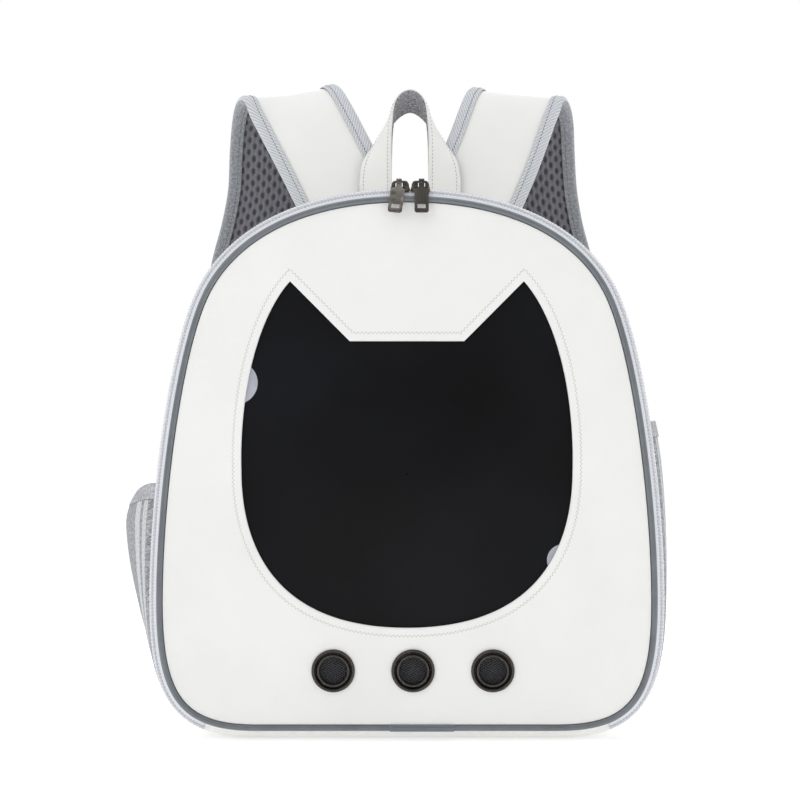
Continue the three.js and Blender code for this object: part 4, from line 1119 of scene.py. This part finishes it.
def addBackPanel():
    turns = np.linspace(-math.pi, math.pi, 241)[:-1]
    shares = np.concatenate([[0.004], np.linspace(0, 1, 64)[1:]])
    reach = panelEdge(turns)[:, None] * shares
    x = np.cos(turns)[:, None] * reach
    z = panel["centreZ"] + np.sin(turns)[:, None] * reach
    fromEdge = panelEdge(turns)[:, None] * (1 - shares)
    rise = np.clip(fromEdge / backPad["fromEdge"], 0, 1) ** 0.6
    for channel in backPad["channels"]:
        rise = rise * (1 - backPad["channelDepth"] * np.exp(-((x - channel) / backPad["channelWidth"]) ** 2))
    for crossZ in backPad["crossZ"]:
        rise = rise * (1 - backPad["channelDepth"] * np.exp(-((z - crossZ) / backPad["channelWidth"]) ** 2))
    rise = rise * np.clip((backPad["topFree"] - z) / 30 + 0.5, 0, 1)
    rise = rise * np.clip((z - backPad["bottomFree"]) / 20, 0, 1)
    outer = np.stack([x, backPad["outerY"] + backPad["pillow"] * rise, z], axis=-1)
    inner = np.stack([x, x * 0 + backPad["outerY"] - backPad["thickness"], z], axis=-1)
    piece = addWall("back_panel_pad", outer, inner, "backMesh", ring=True, uv=outer[..., [0, 2]])
    dress(piece, "back_mesh", "back_panel")
    lines = [[(c, z) for z in np.linspace(*backPad["stitchHigh"], 140)] for c in backPad["channels"]]
    lines += [[(x, c) for x in np.linspace(*backPad["stitchWide"], 140)] for c in backPad["crossZ"]]
    for number, flat in enumerate(lines):
        flat = np.array(flat)
        line = np.stack([flat[:, 0], flat[:, 0] * 0 + backPad["outerY"] + 1.0, flat[:, 1]], axis=1)
        places, along, outs = stepAlong(line, line * 0 + [0, 1, 0], backPad["stitchPitch"])
        dress(addStitches(f"back_stitch_{number}", places, along, outs, 3.0, 0.35, "darkThread"), "back_mesh")


addBackPanel()

# Air eyelets


def addEyelet(label, x):
    seat = eyeletSeat(x)
    h, bore, flange = eyelet["height"], eyelet["bore"], eyelet["flange"]
    roll = [(flange - 0.05, 0.32)]
    for turn in np.radians(np.linspace(-20, 200, 12)):
        roll.append((flange - 1.25 + 1.2 * math.cos(turn), 0.75 + 1.05 * math.sin(turn)))
    lip = []
    for turn in np.radians(np.linspace(0, 180, 9)):
        lip.append((bore + 0.95 + 0.95 * math.cos(turn), h * 0.72 + 0.75 * math.sin(turn)))
    back = -panel["thickness"] - eyelet["washer"]
    profile = roll + [(flange - 3.0, 0.55), (bore + 2.6, 0.75)] + lip
    profile += [(bore, back - eyelet["washer"]), (flange - 1.5, back - eyelet["washer"])]
    profile += [(flange - 1.5, back), (eyelet["barrel"], back), (eyelet["barrel"], 0.3)]
    name = "eyelet_" + label
    turned = addTurned(name + "_ring", profile, 96, seat, "metal")
    dress(turned, "gunmetal", name)
    # a solid disc stands for the black mesh behind the bore; the dark of its holes is painted shade of the
    # bag's inside
    depth = -(panel["thickness"] + 2 * eyelet["washer"] + body["gap"])
    disc = [(0.0, depth + 0.5), (bore * 0.6, depth + 0.25), (bore, depth), (flange - 1.5, depth),
            (flange - 1.5, depth - 0.8), (0.0, depth - 0.8)]
    mesh = addTurned("eyelet_mesh_" + label + "_cloth", disc, 48, seat, "eyeletMesh")
    dress(mesh, "black_mesh", "eyelet_mesh_" + label)


# A profile of radius and height turned round the seat's own axis
def addTurned(name, profile, sides, seat, finish):
    closed = profile[0][0] > 0
    points, faces, uvs = [], [], []
    turns = np.arange(sides) * 2 * math.pi / sides
    for r, h in profile:
        for turn in turns:
            world = seat @ Vector((r * math.cos(turn) * metre, r * math.sin(turn) * metre, h * metre))
            points.append(tuple(world / metre))
            uvs.append((r * math.cos(turn), r * math.sin(turn)))
    rows = len(profile)
    for i in range(rows if closed else rows - 1):
        k = (i + 1) % rows
        for j in range(sides):
            m = (j + 1) % sides
            faces.append((i * sides + j, i * sides + m, k * sides + m, k * sides + j))
    piece = addMesh(name, points, faces, finish, uvs)
    weld(piece)
    return piece


# Merges points that fall together and turns the faces out
def weld(piece):
    shape = bmesh.new()
    shape.from_mesh(piece.data)
    bmesh.ops.remove_doubles(shape, verts=shape.verts, dist=1e-6)
    bmesh.ops.dissolve_degenerate(shape, edges=shape.edges, dist=1e-7)
    bmesh.ops.recalc_face_normals(shape, faces=shape.faces)
    shape.to_mesh(piece.data)
    shape.free()
    piece.data.set_sharp_from_angle(angle=math.radians(42))


for eyeletLabel, eyeletPlaceX in zip(("left", "middle", "right"), eyeletX):
    addEyelet(eyeletLabel, eyeletPlaceX)
print("back panel and eyelets ready")

# Zipper sliders, and the frame's pulls with rounded edges


# A copy of a frame node with its edges rounded
def addRounded(name, node, finish, width, slot, body="carrier"):
    piece = bpy.data.objects.new(name, nodes[node].data.copy())
    bpy.context.collection.objects.link(piece)
    piece.data.materials.clear()
    piece.data.materials.append(finishes[finish])
    shape = bmesh.new()
    shape.from_mesh(piece.data)
    bmesh.ops.remove_doubles(shape, verts=shape.verts, dist=2e-6)
    bmesh.ops.dissolve_limit(shape, angle_limit=math.radians(1), verts=shape.verts, edges=shape.edges)
    shape.to_mesh(piece.data)
    shape.free()
    bevel = piece.modifiers.new("roundedEdges", "BEVEL")
    bevel.width = width * metre
    bevel.segments = 3
    bevel.limit_method = "ANGLE"
    bevel.angle_limit = math.radians(30)
    applyModifiers(piece)
    piece.data.shade_smooth()
    piece.data.set_sharp_from_angle(angle=math.radians(50))
    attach(piece, body)
    return dress(piece, slot, node)


slider = {
    "meetX": 2.5,
    "length": 14.5,
    "halfWidth": 4,
    "plate": 2,
    "plateX": (0, 0.25, 0.9, 2.2, 4.3, 7.2, 10, 12.2, 13.6, 14.25, 14.5),
    "plateWide": (0.42, 0.52, 0.62, 0.78, 0.93, 1, 1, 0.98, 0.88, 0.78, 0.66),
    "plateHigh": (0.7, 0.88, 1, 1, 1, 1, 1, 1, 1, 0.88, 0.7),
    "run": 9.1,
    "standsOut": 0.6,
    "barHeight": 7,
    "crownFrom": 1.2,
    "crownRadius": 0.95,
    "shoulders": ((1.4, 5.5), (10.7, 13.2)),
    "shoulderHalfWidth": 2.4,
    "shoulderRise": 0.86,
    "shoulderFoot": 0.4,
}


# A rectangle with round corners, as pairs of across and out
def roundedSection(halfWidth, halfHeight, corner, steps=4):
    section = []
    for k, (sx, sy) in enumerate(((1, 1), (-1, 1), (-1, -1), (1, -1))):
        for turn in np.linspace(0, math.pi / 2, steps) + k * math.pi / 2:
            section.append((sx * (halfWidth - corner) + corner * math.cos(turn),
                            sy * (halfHeight - corner) + corner * math.sin(turn)))
    return section


def addSlider(label, sign):
    top = skin(0.5, slider["run"], -slider["standsOut"])
    tilt = np.interp(slider["run"], sectionRun, np.arctan2(-sectionRowTable[:, 2], sectionRowTable[:, 3]))
    seat = (Matrix.Translation((slider["meetX"] + sign * body["gap"], top[1], top[2]))
            @ Matrix.Rotation(float(tilt), 4, "X"))
    if sign < 0:
        seat = seat @ Matrix.Rotation(math.pi, 4, "Z")
    turned = np.array(seat.to_3x3())
    put = lambda points: points @ turned.T + np.array(seat.translation)
    x, wide, high = (np.array(slider[key]) for key in ("plateX", "plateWide", "plateHigh"))
    middle = body["gap"] + slider["plate"] / 2
    places = put(np.stack([x, x * 0, x * 0 + middle], axis=1))
    across = np.outer(wide * slider["halfWidth"], turned[:, 1])
    outs = np.outer(high * slider["plate"] / 2, turned[:, 2])
    plate = addSweep("slider_plate_" + label, places, across, outs, roundedSection(1, 1, 0.3), "metal")
    dress(plate, "gunmetal", "zip_slider_" + label)
    t = np.linspace(-1, 1, 45)
    half = slider["length"] / 2 - slider["crownFrom"]
    climb = slider["barHeight"] - middle
    arch = np.stack([slider["length"] / 2 + half * np.sign(t) * np.abs(t) ** 0.8, t * 0,
                     middle + climb * (1 - np.abs(t) ** 6) ** 0.5], axis=1)
    heading = unit(np.gradient(arch, axis=0))
    rise = -np.cross(heading, [0.0, 1.0, 0.0])
    broad = 1 + np.abs(t) ** 3
    crown = addSweep("slider_crown_" + label, put(arch), np.outer(broad, turned[:, 1]), rise @ turned.T,
                     roundedSection(slider["crownRadius"] * 0.9, slider["crownRadius"] * 0.85, 0.5), "metal")
    dress(crown, "gunmetal")
    for number, (start, stop) in enumerate(slider["shoulders"]):
        run = np.linspace(start, stop, 15)[:, None]
        width = np.linspace(-1, 1, 15)[None, :]
        bend = (np.abs(run - slider["length"] / 2) / half) ** 1.25
        top = climb * slider["shoulderRise"] * (1 - np.minimum(bend, 1) ** 6) ** 0.5
        top = top * (1 - np.abs(width) ** 3) ** 0.5 + slider["shoulderFoot"]
        aside = width * slider["shoulderHalfWidth"]
        grid, under = (np.stack(np.broadcast_arrays(run, aside, middle + lift), axis=-1)
                       for lift in (top, 0 * top))
        shoulder = addWall(f"slider_shoulder_{label}_{number}", put(grid), put(under), "metal")
        dress(shoulder, "gunmetal")


for side, sign in (("left", -1), ("right", 1)):
    addSlider(side, sign)
    addRounded("pull_plate_" + side, "zip_pull_" + side, "metal", 0.32, "gunmetal", "pull_" + side)

# Carry handle

handle = {
    "shift": 2.5,
    "layer": 1.5,
    "stitchInset": 3.2,
    "stitchPitch": 3.0,
    "whipPitch": 2.4,
}
handleRows = [  # inner and outer edge from the left foot to the top: x, y and height above the bag
    {"inner": (-15, 2, -20), "outer": (-41, 2, -20)},
    {"inner": (-15, 2, 14), "outer": (-41, 2, 14)},
    {"inner": (-15, 1, 38), "outer": (-41, 3, 36)},
    {"inner": (-15, 0, 52), "outer": (-38.5, 5, 48)},
    {"inner": (-14.5, -4, 75), "outer": (-31, 9, 60)},
    {"inner": (-11.5, -8, 97), "outer": (-17, 14, 79)},
    {"inner": (-6, -9, 104), "outer": (-8, 14, 88)},
    {"inner": (0, -9, 106), "outer": (0, 13, 91)},
]


def handleEdge(key, shares):
    place = lambda p: (handle["shift"] + p[0], backPad["outerY"] + p[1], topZ + p[2])
    left = [place(row[key]) for row in handleRows]
    right = [place((-row[key][0], row[key][1], row[key][2])) for row in handleRows[-2::-1]]
    return smoothLine(left + right, shares)


def handleGrid(columns=9, rows=140):
    shares = np.linspace(0, 1, rows)
    inner, outer = handleEdge("inner", shares), handleEdge("outer", shares)
    middle = inner[:, None] + (outer - inner)[:, None] * np.linspace(0, 1, columns)[None, :, None]
    along = np.gradient(middle, axis=0)
    outs = unit(np.cross(along, (outer - inner)[:, None]))
    return middle, outs


def addHandle():
    middle, outs = handleGrid()
    gap, layer = body["gap"] / 2, handle["layer"]
    share = np.linspace(0, 1, middle.shape[1])[None, :, None]
    edgeDrop = 0.5 * (np.abs(2 * share - 1) ** 8)
    cover = addWall("handle_cover_leather", middle + outs * (gap + layer - edgeDrop), middle + outs * gap,
                    ("leather", "cutEdge"), finishBySide=(0, 0, 1))
    dress(cover, "white_leather", "handle_cover")
    lining = addWall("handle_webbing_weave", middle - outs * gap, middle - outs * (gap + layer), "webbing")
    dress(lining, "melange_webbing", "handle_webbing")
    width = np.linalg.norm(middle[:, -1] - middle[:, 0], axis=1)
    insetShare = handle["stitchInset"] / width
    for label, inset in (("inner", insetShare), ("outer", 1 - insetShare)):
        line = middle[:, 0] + (middle[:, -1] - middle[:, 0]) * inset[:, None]
        line = line + outs[:, 4] * (gap + layer - 0.02)
        places, along, ups = stepAlong(line, outs[:, 4], handle["stitchPitch"])
        stitches = addStitches("handle_stitch_" + label, places, along, ups, 2.0, 0.26, "greyThread")
        dress(stitches, "white_leather")
    edge = middle[:, 0] + outs[:, 0] * (gap + layer * 0.5)
    places, along, ups = stepAlong(edge, outs[:, 0], handle["whipPitch"])
    aside = unit(np.cross(along, ups))
    whip = unit(ups + along * 0.35)
    dress(addStitches("handle_whip_stitch", places + aside * 0.05, whip, -aside, 0.8, 0.22, "whiteThread"),
          "white_leather")


addHandle()
print("zipper metal and handle ready")

# Shoulder straps

strap = {
    "width": 79,
    "layer": 2.4,
    "layerGap": 0.3,
    "bindingWidth": 11,
    "bindingThickness": 0.9,
    "bindingGap": 1.05,
    "rightLean": 0.85,
    "crown": 1.4,
}
strapRows = [
    (-37, 44, 8.5, 398, 29, 0), (-48, 53, 9.2, 418, 29, 0), (-58, 62, 13, 438, 29, 0),
    (-70, 72, 19, 462, 28, 0), (-82, 80.5, 27, 485, 25, 2), (-90, 86, 36, 499, 19, 6),
    (-98, 92, 49, 507.5, 9, 11), (-104, 97, 62, 503, 2, 11), (-107.5, 100.5, 76, 489, -3, 7),
    (-110, 102, 86, 465, -5, 3), (-112, 104.5, 92, 432, -8, 0), (-118, 110, 95, 400, -12, 0),
    (-127, 119, 94, 365, -12, 0), (-135, 128, 88, 310, -8, 2), (-140, 136, 78, 250, -4, 3),
    (-143, 141, 65, 195, -2, 3), (-144, 143, 52, 150, 0, 2),
]  # left x, right x, y from the back panel, z, lean, turn
strapHalf = strap["layer"] + strap["layerGap"] / 2


def strapFrames(mirror, steps=190):
    column, leanShare = (0, 1.0) if mirror > 0 else (1, strap["rightLean"])
    places, widths = [], []
    for row in strapRows:
        lean, turn = math.radians(row[4] * leanShare), math.radians(row[5])
        places.append((row[column], backPad["outerY"] + row[2], row[3]))
        widths.append((mirror * math.cos(lean) * math.cos(turn), math.sin(turn), math.sin(lean)))
    shares = np.linspace(0, 1, steps)
    line = smoothLine(places, shares)
    across = smoothLine(widths, shares)
    along = unit(np.gradient(line, axis=0))
    across = unit(across - along * (across * along).sum(axis=1, keepdims=True))
    outs = unit(np.cross(across, along)) * mirror
    return line, along, across, outs


def bindingSection(side):
    edge = strap["width"] / 2
    slot = strapHalf + strap["bindingGap"]
    outside = slot + strap["bindingThickness"]
    start = edge - strap["bindingWidth"]
    turns = np.radians(np.linspace(-90, 90, 13))
    bend = lambda reach, wide: [(edge - wide + wide * math.cos(t), reach * math.sin(t)) for t in turns]
    outer = [(start, -outside + 0.5), (start + 0.5, -outside)] + bend(outside, 3.2)
    outer += [(start + 0.5, outside), (start, outside - 0.5)]
    inner = [(start, slot)] + bend(slot, 2.3)[::-1] + [(start, -slot)]
    shifted = [(w - (0.9 if i in range(1, 14) else 0), h) for i, (w, h) in enumerate(inner)]
    return [(side * w, h) for w, h in outer + shifted]


def addStrap(label, mirror):
    line, along, across, outs = strapFrames(mirror)
    reach = (strap["width"] - 2 * (strap["bindingThickness"] + strap["bindingGap"])) / 2
    offsets = np.linspace(-reach, reach, 27)
    openHalf = reach - strap["bindingWidth"] + 2
    swell = strap["crown"] * np.clip(1 - (offsets / openHalf) ** 2, 0, 1) ** 0.7
    runs = np.concatenate([[0], np.cumsum(np.linalg.norm(np.diff(line, axis=0), axis=1))])
    uv = np.stack(np.broadcast_arrays(offsets[None], runs[:, None]), axis=-1)
    layer = lambda height: (line[:, None] + across[:, None] * offsets[None, :, None]
                            + outs[:, None] * np.broadcast_to(height, offsets.shape)[None, :, None])
    half = strap["layerGap"] / 2
    face = addWall("strap_face_" + label + "_leather", layer(strapHalf + swell), layer(half),
                   "leather", uv=uv)
    dress(face, "white_leather", "strap_face_" + label)
    lining = addWall("strap_mesh_" + label + "_pad", layer(-half), layer(-strapHalf - swell),
                     "strapMesh", uv=uv)
    dress(lining, "strap_mesh", "strap_mesh_" + label)
    for edge, side in (("inner", 1), ("outer", -1)):
        name = f"strap_binding_{edge}_{label}"
        tape = addSweep(name + "_tape", line, across, outs, bindingSection(side),
                        ("binding", "rearBinding"), backFinish=True)
        dress(tape, "silver_binding", name)
        rail = strap["width"] / 2 - strap["bindingWidth"] + 3.4
        lift = strapHalf + strap["bindingGap"] + strap["bindingThickness"]
        for facing, sign in (("front", 1), ("back", -1)):
            track = line + across * (side * rail) + outs * (sign * lift)
            places, directions, ups = stepAlong(track, outs * sign, 2.9)
            stitch = addStitches(f"strap_stitch_{edge}_{facing}_{label}", places, directions, ups,
                                 2.2, 0.28, "darkThread")
            dress(stitch, "silver_binding")
    return line, along, across, outs


# Lower end: tab, adjuster and webbing down to the corner of the back panel

lower = {
    "width": 25,
    "thickness": 1.6,
    "tab": 14,
    "adjusterHeight": 26,
    "footX": -133,
    "footZ": 22,
    "footLength": 22,
}
webbingRows = [(0, 0, 0), (1, -13, -30), (4, -24, -55)]


def webbingSection():
    w, t = lower["width"] / 2, lower["thickness"] / 2
    return [(-w, -t + 0.4), (-w + 0.5, -t), (w - 0.5, -t), (w, -t + 0.4),
            (w, t - 0.4), (w - 0.5, t), (-w + 0.5, t), (-w, t - 0.4)]


def addLowerStrap(label, mirror, frames):
    line, along, across, outs = frames
    end, down, side, out = line[-1], along[-1], across[-1], outs[-1]
    tabTop = end + down * (body["gap"] + strap["bindingThickness"])
    tabEnd = tabTop + down * lower["tab"]
    clear = 1 + lower["adjusterHeight"] / 2
    webTop = tabEnd + down * (2 * clear)
    shares = np.linspace(0, 1, 7)[:, None]
    places = tabTop + (tabEnd - tabTop) * shares
    tab = addSweep("strap_tab_" + label, places, np.tile(side, (7, 1)), np.tile(out, (7, 1)),
                   webbingSection(), "webbing")
    dress(tab, "melange_webbing", "strap_end_tab_" + label)
    footY = backPad["outerY"] + body["gap"] + lower["thickness"] / 2
    way = [webTop + np.array([mirror * x, y, z]) for x, y, z in webbingRows]
    footX = mirror * lower["footX"]
    way += [np.array([footX, footY, lower["footZ"] + up]) for up in (lower["footLength"], 0)]
    route = smoothLine(way, np.linspace(0, 1, 60))
    route[:, 1] = np.maximum(route[:, 1], footY)
    wide = np.tile([1.0, 0.0, 0.0], (len(route), 1))
    ups = unit(np.cross(wide, np.gradient(route, axis=0)))
    strip = addSweep("strap_web_" + label, route, wide, ups, webbingSection(), "webbing")
    dress(strip, "melange_webbing", "strap_webbing_" + label)
    addRounded("adjuster_" + label, "strap_adjuster_" + label, "plastic", 0.7, "grey_plastic")


for label, mirror in (("left", 1), ("right", -1)):
    addLowerStrap(label, mirror, addStrap(label, mirror))
print("straps ready")

# Side pockets

pocket = {
    "bottomZ": 40,
    "frontY": -80,
    "backY": 84,
    "thickness": 1.2,
    "bandHeight": 12,
    "bandThickness": 2.4,
    "bandRibs": 62,
    "trims": ((0.02, 0.045), (0.072, 0.12)),
    "trimProud": 0.4,
    "trimSunk": 0.2,
}
pocketRows = [
    {"side": "left", "sign": -1, "mouthZ": 190, "bulge": 27, "sag": 10, "fullness": 0.62,
     "folds": 0.9, "flatWidth": 0.21},
    {"side": "right", "sign": 1, "mouthZ": 236, "bulge": 8.5, "sag": 0, "fullness": 0.5,
     "folds": 0.25, "flatWidth": 0.175},
]
pocketDepth = pocket["backY"] - pocket["frontY"]


def heightShare(z):
    table = np.linspace(baseEnd, 0.5, 1200)
    return float(np.interp(z, seamAt(table)[1], table))


def pocketSheet(row, u, v, depth, ripple=0.0):
    low, high = heightShare(pocket["bottomZ"]), heightShare(row["mouthZ"])
    s = low + (high - low) * v
    fullness = np.sin(np.clip(u, 0, 1) * math.pi) ** row["fullness"] * np.sin(v * math.pi / 2) ** 1.3
    shoulderRun = float(np.interp(frontY + body["shoulder"], sectionRowTable[:, 0], sectionRun))
    a = shoulderRun + (pocket["frontY"] + pocketDepth * u) - (frontY + body["shoulder"])
    nearMouth = np.clip((v - 0.8) / 0.2, 0, 1)
    lift = body["gap"] + row["bulge"] * fullness * (1 - 0.3 * nearMouth ** 2) + ripple
    points = skin(s, a, -lift - pocket["thickness"] + depth)
    points[..., 2] -= row["sag"] * np.sin(u * math.pi) * v * v
    if row["sign"] < 0:
        points[..., 0] *= -1
    return points


def pocketFolds(row, u, v):
    return row["folds"] * np.sin(u * math.pi) ** 0.5 * (v ** 2) * (1 + np.sin(u * 46 + 3 * v)) * 0.6


def pocketWall(name, row, u, v, finish, above, below, lift):
    height = row["mouthZ"] - pocket["bottomZ"]
    uv = np.stack(np.broadcast_arrays(u * pocketDepth, v * height), axis=-1)
    level = np.zeros_like(u * v)
    outer, inner = (pocketSheet(row, u, v, level + depth, lift) for depth in (above, below))
    return addWall(name, outer, inner, finish, uv=uv)


def addPocket(row):
    height = row["mouthZ"] - pocket["bottomZ"]
    bandFrom = 1 - pocket["bandHeight"] / height
    v = np.linspace(0, bandFrom - body["gap"] / height, 60)[None]
    u = np.linspace(0, 1, 90)[:, None]
    sheet = pocketWall("pocket_" + row["side"] + "_mesh", row, u, v, "pocketMesh",
                       0, pocket["thickness"], pocketFolds(row, u, v))
    dress(sheet, "pocket_mesh", "pocket_" + row["side"])
    for number, ends in enumerate(pocket["trims"]):
        u = np.linspace(*ends, 5)[:, None]
        trim = pocketWall(f"pocket_trim_{row['side']}_{number}", row, u, v, "pocketStripe",
                          -pocket["trimProud"], pocket["trimSunk"], pocketFolds(row, u, v))
        dress(trim, "pocket_mesh")
    bandU = np.linspace(0, 1, 260)[:, None]
    bandV = np.linspace(bandFrom, 1, 9)[None]
    ribs = 0.35 * (1 + np.sin(bandU * 2 * math.pi * pocket["bandRibs"])) * np.sin(bandU * math.pi) ** 0.3
    bandUv = np.stack(np.broadcast_arrays(bandU * pocketDepth, bandV * height), axis=-1)
    extra = pocket["bandThickness"] - pocket["thickness"]
    band = addWall("pocket_band_" + row["side"] + "_elastic",
                   pocketSheet(row, bandU, bandV, -extra + ribs * 0, ribs - 0.4),
                   pocketSheet(row, bandU, bandV, pocket["thickness"] + ribs * 0, 0.0),
                   "elastic", uv=bandUv)
    dress(band, "elastic_band", "pocket_band_" + row["side"])


for pocketRow in pocketRows:
    addPocket(pocketRow)
print("pockets ready")

# Floor


def addFloor():
    half = studio["floorSize"] / 2
    mesh = bpy.data.meshes.new("studio_floor")
    corners = [(-half, -half, 0), (half, -half, 0), (half, half, 0), (-half, half, 0)]
    mesh.from_pydata(corners, [], [(0, 1, 2, 3)])
    floor = bpy.data.objects.new("studio_floor", mesh)
    bpy.context.collection.objects.link(floor)
    material, tree, shader = startMaterial("paleFloor", Roughness=0.9, Emission_Strength=0.3)
    shader.inputs["Emission Color"].default_value = (1, 1, 1, 1)
    shader.inputs["Specular IOR Level"].default_value = 0.1
    cloud = noise(tree, coordinates(tree, "Object"), 3.0, 2.0)
    tree.links.new(mixColours(tree, cloud, (0.94, 0.94, 0.94, 1), (0.97, 0.97, 0.97, 1)),
                   shader.inputs["Base Color"])
    mesh.materials.append(material)


addFloor()
print("done")
